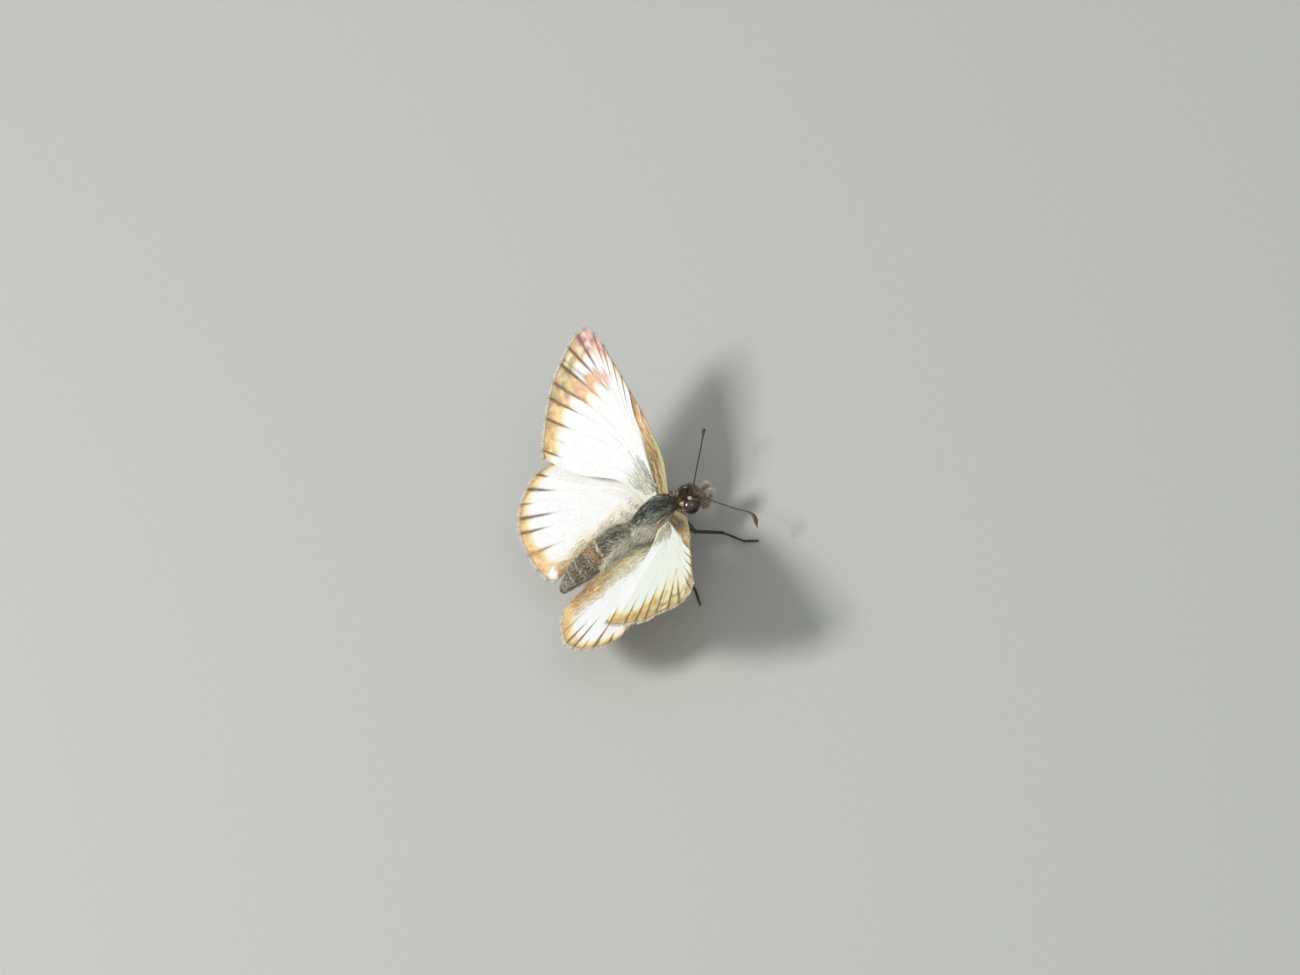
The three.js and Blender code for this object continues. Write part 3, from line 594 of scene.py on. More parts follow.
def store(mesh, name, values):
    """Writes a shade, or one number, for each vertex as an attribute of the mesh."""
    if values.ndim > 1:
        shades = np.concatenate([values, np.ones((len(values), 1))], axis=1)
        attribute = mesh.attributes.new(name, "FLOAT_COLOR", "POINT")
        attribute.data.foreach_set("color", shades.astype(np.float32).ravel())
    else:
        attribute = mesh.attributes.new(name, "FLOAT", "POINT")
        attribute.data.foreach_set("value", values.astype(np.float32))


def add_map(mesh, name, places):
    """A UV map that gives each corner its vertex's place."""
    corners = np.zeros(len(mesh.loops), np.int32)
    mesh.loops.foreach_get("vertex_index", corners)
    mesh.uv_layers.new(name=name).data.foreach_set("uv", places[corners].astype(np.float32).ravel())


def lay_grid(name, places):
    """A sheet of quads through rows of places, left selected and without a map."""
    rows, columns = places.shape[:2]
    bpy.ops.object.select_all(action="DESELECT")
    bpy.ops.mesh.primitive_grid_add(x_subdivisions=columns - 1, y_subdivisions=rows - 1, size=1)
    sheet = bpy.context.object
    sheet.name = name
    sheet.data.name = name
    sheet.data.vertices.foreach_set("co", places.ravel() * MM)
    while sheet.data.uv_layers:
        sheet.data.uv_layers.remove(sheet.data.uv_layers[0])
    return sheet


def face_outward(merge=None):
    """Merges places that lie together in the selected sheet, and turns it outward and smooth."""
    bpy.ops.object.mode_set(mode="EDIT")
    bpy.ops.mesh.select_all(action="SELECT")
    if merge:
        bpy.ops.mesh.remove_doubles(threshold=merge * MM)
    bpy.ops.mesh.normals_make_consistent(inside=False)
    bpy.ops.object.mode_set(mode="OBJECT")
    bpy.ops.object.shade_smooth()


SCALE_LENGTH = 0.13
SCALE_WIDTH = 0.065
finish = {"Roughness": 0.62, "Specular IOR Level": 0.25, "Sheen Weight": 0.15}
wing_scales, tree, shader, at_mm = new_material("wing_scales", finish)
plan_place = add_node(tree, "UVMap", uv_map="Plan")["UV"]
scale_rows = (PLAN_SIZE / SCALE_LENGTH, PLAN_SIZE / SCALE_WIDTH, 1)
stretch = add_node(tree, "Mapping", {"Vector": plan_place, "Scale": scale_rows})["Vector"]
tiles = add_node(tree, "TexVoronoi", {"Vector": stretch, "Scale": 1.0, "Randomness": 0.75},
                 voronoi_dimensions="2D")
painted = add_node(tree, "Attribute", attribute_name="Scales")["Color"]
pick = add_node(tree, "SeparateColor", {"Color": tiles["Color"]})
vary = add_node(tree, "MapRange", {"Value": pick["Red"], "To Min": 0.92, "To Max": 1.04})["Result"]
# a few scales of the darker ground show among the pale ones where the wing is coloured
dusting = add_node(tree, "Attribute", attribute_name="Dusting")["Fac"]
chance = add_node(tree, "Math", {0: dusting, 1: pick["Green"]}, operation="GREATER_THAN")["Value"]
tints = {"Factor": chance, "A": scaled(tree, painted, vary), "B": (0.82, 0.75, 0.68, 1)}
dusted = add_node(tree, "Mix", tints, data_type="RGBA", blend_type="MULTIPLY")["Result"]
feed(tree, shader, {"Base Color": dusted})
add_bump(tree, shader, tiles["Distance"], 0.01, 0.5)


def make_wing(name, plan, painter):
    """One wing: a plane grid bent to the plan, given its thickness, painted and set at its hinge."""
    dihedral, pitch, sweep, side, drop = WING_POSES[name]
    turn = (Matrix.Rotation(-side * math.radians(dihedral), 3, "Y")
            @ Matrix.Rotation(-math.radians(pitch), 3, "X")
            @ Matrix.Rotation(-side * math.radians(sweep), 3, "Z"))
    turn = np.array(turn) @ np.diag([side, 1, 1])
    seat = spot(0, side * HINGE_OUT, -drop)
    grid = lay_out_wing(plan)
    heights, ridges = wing_heights(plan, grid, 40 + list(WING_POSES).index(name))
    middle = np.concatenate([grid["place"], heights[..., None]], axis=2)
    half = np.full((len(heights), 1), MEMBRANE / 2)
    half[-1] = EDGE_MEMBRANE / 2
    up = np.array([0.0, 0.0, 1.0])
    lifted = middle + (half + ridges)[..., None] * up
    lowered = middle - (half + 0.5 * ridges)[..., None] * up
    wing = lay_grid(name + "_membrane", lifted @ turn.T + seat)
    thick = wing.modifiers.new("thickness", "SOLIDIFY")
    thick.thickness = MEMBRANE * MM
    thick.offset = -side
    bpy.ops.object.modifier_apply(modifier=thick.name)
    both = np.concatenate([lifted.reshape(-1, 3), lowered.reshape(-1, 3)])
    wing.data.vertices.foreach_set("co", (both @ turn.T + seat).ravel() * MM)
    upper, lower = painter(grid, side), paint_underside(grid)
    scales = np.concatenate([upper.reshape(-1, 3), lower.reshape(-1, 3)])
    store(wing.data, "Scales", scales)
    store(wing.data, "Dusting", 0.3 * smooth_step(0.6, 0.2, scales.mean(axis=1)))
    add_map(wing.data, "Plan", np.tile(grid["place"].reshape(-1, 2) / PLAN_SIZE + 0.1, (2, 1)))
    face_outward()
    wing.data.materials.append(wing_scales)
    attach(wing, "root")
    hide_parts(name)
    return {"plan": plan, "grid": grid, "middle": middle, "turn": turn, "seat": seat}


KINDS = {"fore": (FOREWING, paint_forewing), "hind": (HINDWING, paint_hindwing)}
wings = {name: make_wing(name, *KINDS[name[:4]]) for name in WING_POSES}

# ---- Fringe ----
# Long narrow scales stand in two rows along the outer edge of each wing and carry on its plane. They
# are brown at the foot and cream at the tip, and darker where a vein ends.

FRINGE_LENGTH = {"fore": 0.42, "hind": 0.44}
FRINGE_WIDTH = 0.055
FRINGE_STEP = 0.014
PATCH = 0.0028  # size of one tuft's patch on the coat's map
HAIR = (1.0, 0.9, 0.55)  # a tuft's width at its foot, at two fifths and at three quarters
SCALE = (0.55, 1.0, 0.85)

finish = {"Roughness": 0.55, "Specular IOR Level": 0.3, "Sheen Weight": 0.2}
coat_hair, tree, shader, at_mm = new_material("coat_hair", finish)
painted = add_node(tree, "Attribute", attribute_name="Coat")["Color"]
grain = add_node(tree, "TexNoise", {"Vector": at_mm, "Scale": 14, "Detail": 2})["Fac"]
vary = add_node(tree, "MapRange", {"Value": grain, "To Min": 0.75, "To Max": 1.25})["Result"]
feed(tree, shader, {"Base Color": scaled(tree, painted, vary)})


def grow_tufts(name, draw, roots, lies, normals, length, width, stand, curl, foot, tip, patch, profile=HAIR):
    """A coat piece: one closed sliver for each root, flat below and ridged above, ending in a point.

    Length, width and stand are given or drawn between two bounds, and curl is how far bends spread."""
    n = len(roots)
    sizes = [draw.uniform(*size, n) if isinstance(size, tuple) else np.broadcast_to(size, n)
             for size in (length, width, stand)]
    length, width, stand, curl = (size[:, None] for size in (*sizes, draw.normal(0, curl, n)))
    side = unit(np.cross(normals, lies))
    over = unit(np.cross(lies, side))
    over = over * np.sign((over * normals).sum(axis=1, keepdims=True))
    points, shades, maps = [], [], []
    for t, wide in zip((0.0, 0.4, 0.75, 1.0), (*profile, 0.0)):
        centre = roots + length * (lies * t + normals * stand * t * (1 - 0.55 * t) + side * curl * t * t)
        half = side * width * wide / 2
        across = (centre + half, centre - half, centre + over * width * wide * 0.35)
        for point, offset in zip(across, (1.0, -1.0, 0.0)) if t < 1 else ((centre, 0.0),):
            points.append(point)
            shades.append(foot + (tip - foot) * t)
            maps.append(patch + PATCH * np.array([0.5 + 0.4 * offset, 0.1 + 0.8 * t]))
    triangles = [(0, 2, 1)]
    for ring in (0, 3):
        for a, b in ((0, 1), (1, 2), (2, 0)):
            triangles += [(ring + a, ring + b, ring + 3 + b), (ring + a, ring + 3 + b, ring + 3 + a)]
    triangles += [(6, 7, 9), (7, 8, 9), (8, 6, 9)]
    faces = (np.array(triangles)[None] + 10 * np.arange(n)[:, None, None]).reshape(-1).astype(np.int32)
    mesh = bpy.data.meshes.new(name)
    mesh.vertices.add(10 * n)
    mesh.vertices.foreach_set("co", (np.stack(points, axis=1) * MM).astype(np.float32).ravel())
    mesh.loops.add(len(faces))
    mesh.loops.foreach_set("vertex_index", faces)
    mesh.polygons.add(len(faces) // 3)
    mesh.polygons.foreach_set("loop_start", np.arange(0, len(faces), 3, dtype=np.int32))
    mesh.update(calc_edges=True)
    store(mesh, "Coat", np.clip(np.stack(shades, axis=1), 0, 1).reshape(-1, 3))
    add_map(mesh, "OFBake", np.stack(maps, axis=1).reshape(-1, 2))
    mesh.materials.append(coat_hair)
    coat = bpy.data.objects.new(name, mesh)
    bpy.context.collection.objects.link(coat)
    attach(coat, "root")
    return coat


def dress_margin(name, seed):
    """The fringe of one wing."""
    wing = wings[name]
    grid, turn, edge = wing["grid"], wing["turn"], wing["middle"][-1]
    first = wing["plan"]["fringe from"]
    draw = np.random.default_rng(seed)
    along = np.concatenate([[0], np.cumsum(np.linalg.norm(np.diff(edge[:, :2], axis=0), axis=1))])
    count = int(along[-1] / FRINGE_STEP)
    where = np.sort(draw.uniform(0, along[-1], count))

    def at(values):
        return np.stack([np.interp(where, along, column) for column in values.T], axis=1)

    apart = along + np.arange(len(along)) * 1e-9
    tangent = unit(at(unit(np.stack([np.gradient(column, apart) for column in edge.T], axis=1))))
    square = np.stack([tangent[:, 1], -tangent[:, 0], np.zeros(count)], axis=1)
    lies = unit(0.6 * unit(square) + 0.4 * at(unit(edge - wing["middle"][-4])))
    near = np.interp(where, along, np.minimum(grid["to_fore"][-1], grid["to_hind"][-1]))
    grown = smooth_step(first - 1.2, first + 0.8, np.interp(where, along, grid["order"][-1]))
    full = FRINGE_LENGTH[name[:4]] * (0.28 + 0.72 * grown)
    row = draw.integers(0, 2, count)
    clump = 0.9 + 0.12 * np.sin(where * 9.0) + 0.08 * np.sin(where * 23.0)
    length = full * np.where(row == 0, 1.0, 0.68) * clump * draw.uniform(0.85, 1.08, count)
    lies = unit(lies + tangent * draw.normal(0, 0.12, (count, 1)))
    normals = np.tile([0.0, 0.0, 1.0], (count, 1))
    foot = at(edge) - lies * 0.1 + normals * draw.uniform(-0.02, 0.03, (count, 1))
    pale = mix(SHADES["cream"], SHADES["white"], draw.uniform(0, 1, count))
    base = mix(SHADES["brown"], SHADES["tan"], draw.uniform(0, 1, count))
    tips = layers(pale, (SHADES["brown"], 0.7 * np.exp(-((near / 0.2) ** 2)) + 0.25 * (row == 1)),
                  (SHADES["brown"], (1 - grown) * 0.8))
    fringe = grow_tufts(
        name + "_fringe", draw, foot @ turn.T + wing["seat"], unit(lies @ turn.T), unit(normals @ turn.T),
        length, FRINGE_WIDTH, draw.normal(0, 0.06, count), 0.08,
        mix(base, pale, np.where(row == 0, 0.45, 0.15)), tips, foot[:, :2] / PLAN_SIZE + 0.1, SCALE)


for number, name in enumerate(WING_POSES):
    dress_margin(name, 60 + number)

# ---- Body skin ----
# Head, thorax and abdomen are one dark skin, drawn in at the neck and the waist and ringed on the
# abdomen. It lies under the coat by the coat's depth and carries the coat's markings.

BODY = [  # forward, half width, top, bottom
    (1.74, 0.02, -0.84, -0.88), (1.64, 0.5, -0.56, -1.14), (1.4, 0.82, -0.28, -1.38),
    (0.95, 0.94, -0.08, -1.54), (0.6, 0.94, -0.08, -1.5), (0.32, 0.8, -0.2, -1.3),
    (0.1, 0.64, -0.14, -1.2), (-0.12, 0.8, 0.2, -1.25), (-0.4, 1.08, 0.6, -1.45),
    (-1.0, 1.3, 0.98, -1.7), (-1.9, 1.36, 1.08, -1.8), (-2.8, 1.28, 0.92, -1.72),
    (-3.5, 1.1, 0.66, -1.5), (-4.0, 0.9, 0.46, -1.22), (-4.3, 0.92, 0.48, -1.22),
    (-5.0, 1.12, 0.76, -1.5), (-6.3, 1.2, 0.85, -1.6), (-7.8, 1.22, 0.8, -1.63),
    (-9.2, 1.1, 0.48, -1.68), (-10.4, 0.84, -0.02, -1.66), (-11.35, 0.54, -0.58, -1.62),
    (-11.75, 0.28, -0.94, -1.54), (-11.86, 0.02, -1.22, -1.26),
]
COAT_DEPTH = np.array([(1.8, 0.08), (0.6, 0.12), (-0.4, 0.16), (-3.6, 0.16), (-5.0, 0.09), (-11.0, 0.08),
                       (-11.9, 0.04)])
RINGS = [-4.78, -5.95, -7.1, -8.3, -9.38, -10.32, -11.05]
BODY_END = -11.9
SKIN_ROWS = 220
SKIN_SIDES = 72
SEAM = 0.002  # places this near each other are merged

COAT = {
    "slate": linear(44, 45, 41),
    "steel": linear(104, 112, 104),
    "moss": linear(136, 136, 110),
    "buff": linear(182, 160, 126),
    "bark": linear(118, 92, 68),
    "earth": linear(118, 106, 84),
    "ash": linear(172, 166, 150),
    "cream": linear(238, 224, 192),
    "rust": linear(194, 148, 104),
    "gold": linear(134, 108, 66),
    "pitch": linear(38, 32, 28),
    "chalk": linear(226, 221, 208),
}
line_shares = np.linspace(0, 1, 900)
body_line = smooth_path(BODY, line_shares)


def profile(forward):
    """The bare body's half width, top and bottom at a distance forward."""
    return [np.interp(-forward, -body_line[:, 0], body_line[:, c]) for c in (1, 2, 3)]


def body_place(forward, angle):
    """The body's surface at a distance forward and an angle from the back toward the left."""
    wide, top, low = profile(forward)
    depth = np.interp(-forward, -COAT_DEPTH[:, 0], COAT_DEPTH[:, 1])
    ring = np.zeros_like(forward)
    for here, after in zip(RINGS, [*RINGS[1:], BODY_END]):
        inside = (forward < here) & (forward >= after)
        ring = np.where(inside, 0.05 * (forward - here) / (after - here) - 0.02, ring)
    across = np.maximum(wide - depth + ring * (wide > 0.2), 0.01)
    tall = np.maximum((top - low) / 2 - depth + ring * (wide > 0.2), 0.01)
    # the head's section is squarer than the body's
    square = 1 - 0.3 * smooth_step(0.0, 0.4, forward)
    out, up = (np.sign(way) * np.abs(way) ** square for way in (np.sin(angle), np.cos(angle)))
    return spot(forward, across * out, (top + low) / 2 + tall * up)


def band(value, middle, half, soft):
    """1 within half of the middle, falling softly to 0."""
    return smooth_step(half + soft, half, np.abs(value - middle))


def flank_edge(forward):
    """Angle down the right flank at which the dark back ends."""
    return np.interp(forward, [-4.2, -3.8, -3.0, -2.1, -1.2, -0.3], [0.0, -0.15, -0.8, -1.17, -1.36, -1.55])


PALE_RINGS = [  # shade, strength and half width of the pale hair at each ring behind the first
    ("ash", 0.5, 0.02), ("cream", 1.0, 0.05), ("ash", 0.6, 0.025), ("ash", 0.8, 0.03), ("ash", 0.5, 0.02),
    ("ash", 0.4, 0.02),
]


def body_shade(forward, angle):
    """Colour of skin and coat at a place on the body."""
    f, a = np.broadcast_arrays(forward, angle)
    side = np.abs(a)
    c = COAT
    head = layers(c["pitch"], (c["gold"], 0.45 * band(f, 0.3, 0.15, 0.25)),
                  (c["chalk"], smooth_step(1.9, 2.3, side)))
    streak = 0.5 + 0.5 * np.sin(a * 9 + 1.3 * np.sin(f * 2.1)) * np.sin(f * 3.1 + 4 * a)
    patchy = 0.5 + 0.5 * np.sin(5.1 * f + 3 * a) * np.sin(8.3 * a + 1.7 * f)
    below_back = a - flank_edge(f)
    thorax = layers(
        c["slate"],
        (c["steel"], 0.85 * streak**2 * smooth_step(1.5, 0.5, side)),
        (c["moss"], 0.6 * band(a, -0.95, 0.07, 0.12) * band(f, -0.95, 0.5, 0.25)),
        (c["moss"], 0.6 * band(a, -0.4, 0.06, 0.1) * band(f, -1.1, 0.3, 0.25)),
        (c["moss"], 0.5 * smooth_step(-3.4, -4.1, f) * (0.2 + 0.8 * streak)),
        (c["bark"], 0.8 * smooth_step(0.0, -0.08, below_back)),
        (c["ash"], (0.3 + 0.6 * patchy) * smooth_step(-0.14, -0.3, below_back)),
        (c["ash"], 0.8 * smooth_step(1.5, 1.8, a)),
        (c["gold"], 0.4 * smooth_step(-0.2, 0.05, f)),
        (c["chalk"], smooth_step(2.0, 2.5, side)))
    belly = layers(
        c["earth"],
        (c["moss"], 0.7 * smooth_step(-5.1, -4.4, f)),
        (c["pitch"], 0.8 * band(f, RINGS[0], 0.1, 0.12) + 0.8 * band(f, -5.4, 0.12, 0.12)),
        (linear(92, 76, 70), 0.8 * band(f, -6.5, 0.35, 0.2)),
        (c["rust"], 0.6 * band(f, -7.75, 0.25, 0.3) * smooth_step(1.2, 0.6, np.abs(a + 0.35))),
        *((c[tone], strength * band(f, ring + 0.03, half, 0.05))
          for ring, (tone, strength, half) in zip(RINGS[1:], PALE_RINGS)),
        (linear(196, 188, 160), 0.85 * smooth_step(0.3, 0.6, a) * band(f, -7.0, 2.4, 0.5)),
        (c["ash"], 0.7 * smooth_step(-10.0, -11.2, f)),
        (c["buff"], 0.55 * smooth_step(1.1, 1.6, side)),
        (c["chalk"], smooth_step(1.8, 2.3, side)))
    return layers(belly, (thorax, smooth_step(-4.3, -4.0, f)), (head, smooth_step(0.02, 0.2, f)))


finish = {"Roughness": 0.5, "Specular IOR Level": 0.35}
skin_shell, tree, shader, at_mm = new_material("body_skin", finish)
painted = add_node(tree, "Attribute", attribute_name="Coat")["Color"]
feed(tree, shader, {"Base Color": scaled(tree, painted, 0.7)})
pits = add_node(tree, "TexVoronoi", {"Vector": at_mm, "Scale": 9})["Distance"]
add_bump(tree, shader, pits, 0.03)


def wrap_grid(name, places, shades=None):
    """A closed skin from rows of places round a form: the side seam and both ends are merged."""
    piece = lay_grid(name, places)
    if shades is not None:
        store(piece.data, "Coat", shades.reshape(-1, 3))
    face_outward(SEAM)
    return piece


forward = np.interp(np.linspace(0, 1, SKIN_ROWS), line_shares, body_line[:, 0])
forward, angle = np.meshgrid(forward, np.linspace(-np.pi, np.pi, SKIN_SIDES + 1), indexing="ij")
places = body_place(forward, angle)
places[0] = places[0].mean(axis=0)
places[-1] = places[-1].mean(axis=0)
places[:, -1] = places[:, 0]
skin = wrap_grid("body_skin", places, body_shade(forward, angle))
skin.data.materials.append(skin_shell)
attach(skin, "root")
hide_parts("head", "thorax", "abdomen")

# ---- Body coat ----
# Hair and scales grow on the skin and lie backward: short bristles on the head, long silky hair on
# the thorax and over the waist, and broad flat scales in overlapping rows on the abdomen.


def scatter_on_body(draw, count, front, back, spread=np.pi):
    """Places for roots as distance forward and angle: between two distances, evenly by area."""
    f = draw.uniform(back, front, 3 * count)
    a = draw.uniform(-spread, spread, 3 * count)
    keep = np.flatnonzero(draw.uniform(0, 1.4, 3 * count) < profile(f)[0])[:count]
    return f[keep], a[keep]


def root_frame(f, a, sink=0.02):
    """Root, backward, outward and sideways direction on the skin."""
    here = body_place(f, a)
    back = unit(body_place(f - 0.03, a) - here)
    sideways = unit(body_place(f, a + 0.03) - here)
    out = unit(np.cross(back, sideways))
    _, top, low = profile(f)
    out = out * np.sign((out * (here - spot(f, 0, (top + low) / 2))).sum(axis=1, keepdims=True))
    return here - out * sink, back, out, sideways


def coat_patch(f, a):
    """The roots' places on an unwrap of the body."""
    return np.stack([0.02 + 0.95 * (a / (2 * np.pi) + 0.5) % 1.0, 0.02 + 0.95 * (1.8 - f) / 13.8], axis=1)


def vary_shade(draw, shade, spread):
    """Makes some tufts lighter and some darker."""
    return shade * np.exp(draw.normal(0, spread, (len(shade), 1)))


def some(draw, share, count):
    """Picks a share of the tufts."""
    return draw.uniform(0, 1, count) < share


# flat scales on the abdomen
draw = np.random.default_rng(101)
f, a = scatter_on_body(draw, 11500, -4.45, -11.8)
root, back, out, sideways = root_frame(f, a)
count = len(f)
lie = unit(back + sideways * draw.normal(0, 0.13, (count, 1)))
shade = layers(body_shade(f, a), (COAT["ash"], 0.7 * some(draw, 0.16, count)),
               (COAT["buff"], 0.7 * some(draw, 0.12, count)),
               (COAT["pitch"], 0.7 * some(draw, 0.28, count)))
shade = vary_shade(draw, shade, 0.33)
scales = grow_tufts("abdomen_scales", draw, root, lie, out, (0.2, 0.38), (0.04, 0.08), (0.1, 0.4), 0.08,
                    shade * 0.85, shade * 1.3, coat_patch(f, a), SCALE)

# short silky hair on the thorax, sleek on the left of the back
draw = np.random.default_rng(102)
f, a = scatter_on_body(draw, 8600, -0.02, -4.3)
root, back, out, sideways = root_frame(f, a)
count = len(f)
swirl = draw.normal(0, 0.28, count) + 0.3 * np.sin(3 * f + 2 * a)
shade = vary_shade(draw, body_shade(f, a), 0.35)
sleek = smooth_step(0.3, 0.9, a) * smooth_step(2.0, 1.5, a)
hair = grow_tufts("thorax_hair", draw, root, unit(back + sideways * swirl[:, None]), out,
                  draw.uniform(0.3, 0.6, count) * (1 - 0.3 * sleek), draw.uniform(0.04, 0.07, count),
                  draw.uniform(0.08, 0.35, count) * (1 - 0.7 * sleek), 0.18, shade * 0.8, shade * 1.3,
                  coat_patch(f, a))

# longer strands lie over the short hair in locks, dark and pale by turns
draw = np.random.default_rng(108)
f, a = scatter_on_body(draw, 3400, -0.1, -4.6, 1.6)
root, back, out, sideways = root_frame(f, a)
count = len(f)
lock = np.floor(a / 0.11 + 0.9 * np.sin(1.9 * f)) + 40 * np.floor(f / 0.9 + 0.4 * np.sin(5 * a))
tone = (np.sin(lock * 78.233) * 43.7) % 1.0  # scattered evenly over the locks
lie = unit(back + sideways * (0.35 * np.sin(3.1 * lock) + draw.normal(0, 0.1, count))[:, None])
shade = layers(linear(28, 30, 27), (linear(112, 118, 104), smooth_step(0.3, 0.6, tone)),
               (linear(216, 218, 198), 0.9 * smooth_step(0.66, 0.86, tone)),
               (COAT["moss"], 0.7 * smooth_step(-0.7, -1.2, a) * (tone > 0.3)),
               (linear(176, 150, 108), 0.8 * smooth_step(-1.1, -1.5, a) * (tone > 0.45)),
               (COAT["moss"], 0.5 * smooth_step(-3.0, -4.2, f)))
shade = vary_shade(draw, shade, 0.2)
strands = grow_tufts("thorax_strands", draw, root, lie, out, (0.5, 1.0), (0.03, 0.045), (0.08, 0.3), 0.2,
                     shade * 0.85, shade * 1.25, coat_patch(f, a))

# loose pale hair over the waist and down the right flank
draw = np.random.default_rng(103)
f, a = scatter_on_body(draw, 7500, -1.3, -6.4, 1.9)
flank = smooth_step(-0.05, -0.3, a - flank_edge(f)) * smooth_step(-0.9, -1.8, f)
reach = smooth_step(-6.2, -5.3, f - 0.4 * smooth_step(-1.2, -1.7, a))
reach = np.maximum(smooth_step(-3.7, -4.3, f), flank) * reach
keep = some(draw, 0.65 * reach * smooth_step(1.3, 0.7, a), len(f))
f, a = f[keep], a[keep]
root, back, out, sideways = root_frame(f, a)
count = len(f)
lie = unit(back + sideways * (draw.normal(0, 0.45, count) - 0.35 * np.sign(a))[:, None])
shade = mix(linear(156, 158, 124), linear(226, 226, 200), draw.uniform(0, 1, count))
dark = 0.6 + 0.3 * band(f, -5.1, 0.3, 0.3) * band(a, -0.9, 0.5, 0.3) - 0.5 * smooth_step(-0.6, -1.2, a)
shade = layers(shade, (COAT["slate"], 0.9 * some(draw, dark, count)),
               (COAT["chalk"], 0.45 * smooth_step(-0.7, -1.3, a)))
shade = vary_shade(draw, shade, 0.2)
long_hair = grow_tufts("waist_hair", draw, root, lie, out, (0.5, 1.1), (0.03, 0.05), (0.1, 0.3), 0.3,
                       shade * 0.85, shade * 1.3, coat_patch(f, a))

# bristles on the head, upright on the crown and forward on the face
draw = np.random.default_rng(104)
f, a = scatter_on_body(draw, 7600, 1.7, 0.0)
root, back, out, sideways = root_frame(f, a)
count = len(f)
crown = smooth_step(1.5, 0.9, np.abs(a - 0.25)) * smooth_step(1.6, 1.2, f) * smooth_step(0.05, 0.4, f)
ahead = smooth_step(0.5, 1.3, f)[:, None]
face = smooth_step(1.2, 1.5, f)
lie = back * (1 - 1.6 * ahead) + out * (0.3 + 0.7 * crown[:, None])
lie = unit(lie + sideways * draw.normal(0, 0.35, (count, 1)))
shade = mix(body_shade(f, a), linear(170, 130, 74), 0.8 * some(draw, 0.22, count))
shade = vary_shade(draw, shade, 0.25)
shade = mix(shade, linear(196, 170, 148), 0.85 * face * some(draw, 0.55, count))
length = draw.uniform(0.16, 0.3, count) + 0.22 * face
length = length + crown * draw.uniform(0.0, 0.26, count) * (0.7 + 0.6 * smooth_step(0.1, 0.8, a))
bristle = grow_tufts("head_hair", draw, root, lie, out, length, (0.02, 0.034), (0.1, 0.4), 0.2,
                     shade * 0.8, shade * 1.3, coat_patch(f, a))

# four pale spots between and behind the eyes
PALE_SPOTS = [  # forward, angle, half sizes along and round, tufts
    (1.2, -0.72, 0.1, 0.13, 60), (1.2, 0.72, 0.1, 0.13, 60),
    (0.5, -0.72, 0.15, 0.15, 80), (0.5, 0.72, 0.15, 0.15, 80),
]
draw = np.random.default_rng(105)
f = np.concatenate([here + long * draw.uniform(-1, 1, many) for here, _, long, _, many in PALE_SPOTS])
a = np.concatenate([turn + wide * draw.uniform(-1, 1, many) for _, turn, _, wide, many in PALE_SPOTS])
root, back, out, sideways = root_frame(f, a, -0.1)
count = len(f)
lie = unit(back * 0.9 + out * 0.4 + sideways * draw.normal(0, 0.2, (count, 1)))
shade = vary_shade(draw, np.tile(linear(248, 244, 214), (count, 1)), 0.08)
spots = grow_tufts("head_spots", draw, root, lie, out, (0.2, 0.3), 0.06, 0.1, 0.1, shade, shade,
                   coat_patch(f, a), SCALE)

# short pale hair along the abdomen's rings
RING_TUFTS = 220
draw = np.random.default_rng(106)
f = np.repeat(RINGS[1:-1], RING_TUFTS)
f = f + draw.normal(0, 0.02, len(f))
count = len(f)
a = draw.uniform(-1.75, 1.75, count)
root, back, out, sideways = root_frame(f, a, -0.05)
strong = np.abs(f - RINGS[2]) < 0.2
lie = unit(back + out * 0.1 + sideways * draw.normal(0, 0.25, (count, 1)))
shade = np.where(strong[:, None], linear(244, 228, 200), linear(206, 208, 192))
shade = vary_shade(draw, shade, 0.15)
rings = grow_tufts("ring_hair", draw, root, lie, out, draw.uniform(0.12, 0.2, count) + 0.06 * strong,
                   0.035, 0.2, 0.15, shade, shade, coat_patch(f, a))

# ---- Eyes ----
# Two large compound eyes fill the sides of the head: smooth glossy domes of many fine facets, painted
# brown above as a painted reflection and black below as painted shade.

FACET = 0.03
# painted light: the eye is painted black shade below the first height and a brown painted reflection above
# the second
SHADED_BELOW, REFLECTING_ABOVE = 3.5, 4.3  # heights between which the colour turns
finish = {"Roughness": 0.16, "Specular IOR Level": 0.6, "Coat Weight": 0.5, "Coat Roughness": 0.08}
eye_dome, tree, shader, at_mm = new_material("eye_dome", finish)
height = add_node(tree, "SeparateXYZ", {"Vector": at_mm})["Z"]
reflected_share = add_node(tree, "MapRange", {"Value": height, "From Min": SHADED_BELOW, "From Max": REFLECTING_ABOVE},
                interpolation_type="SMOOTHSTEP")["Result"]
feed(tree, shader, {"Base Color": two_tones(tree, reflected_share, (10, 8, 8), (84, 62, 54))})
facets = add_node(tree, "TexVoronoi", {"Vector": at_mm, "Scale": 1 / FACET})["Distance"]
add_bump(tree, shader, facets, 0.004, 0.4)

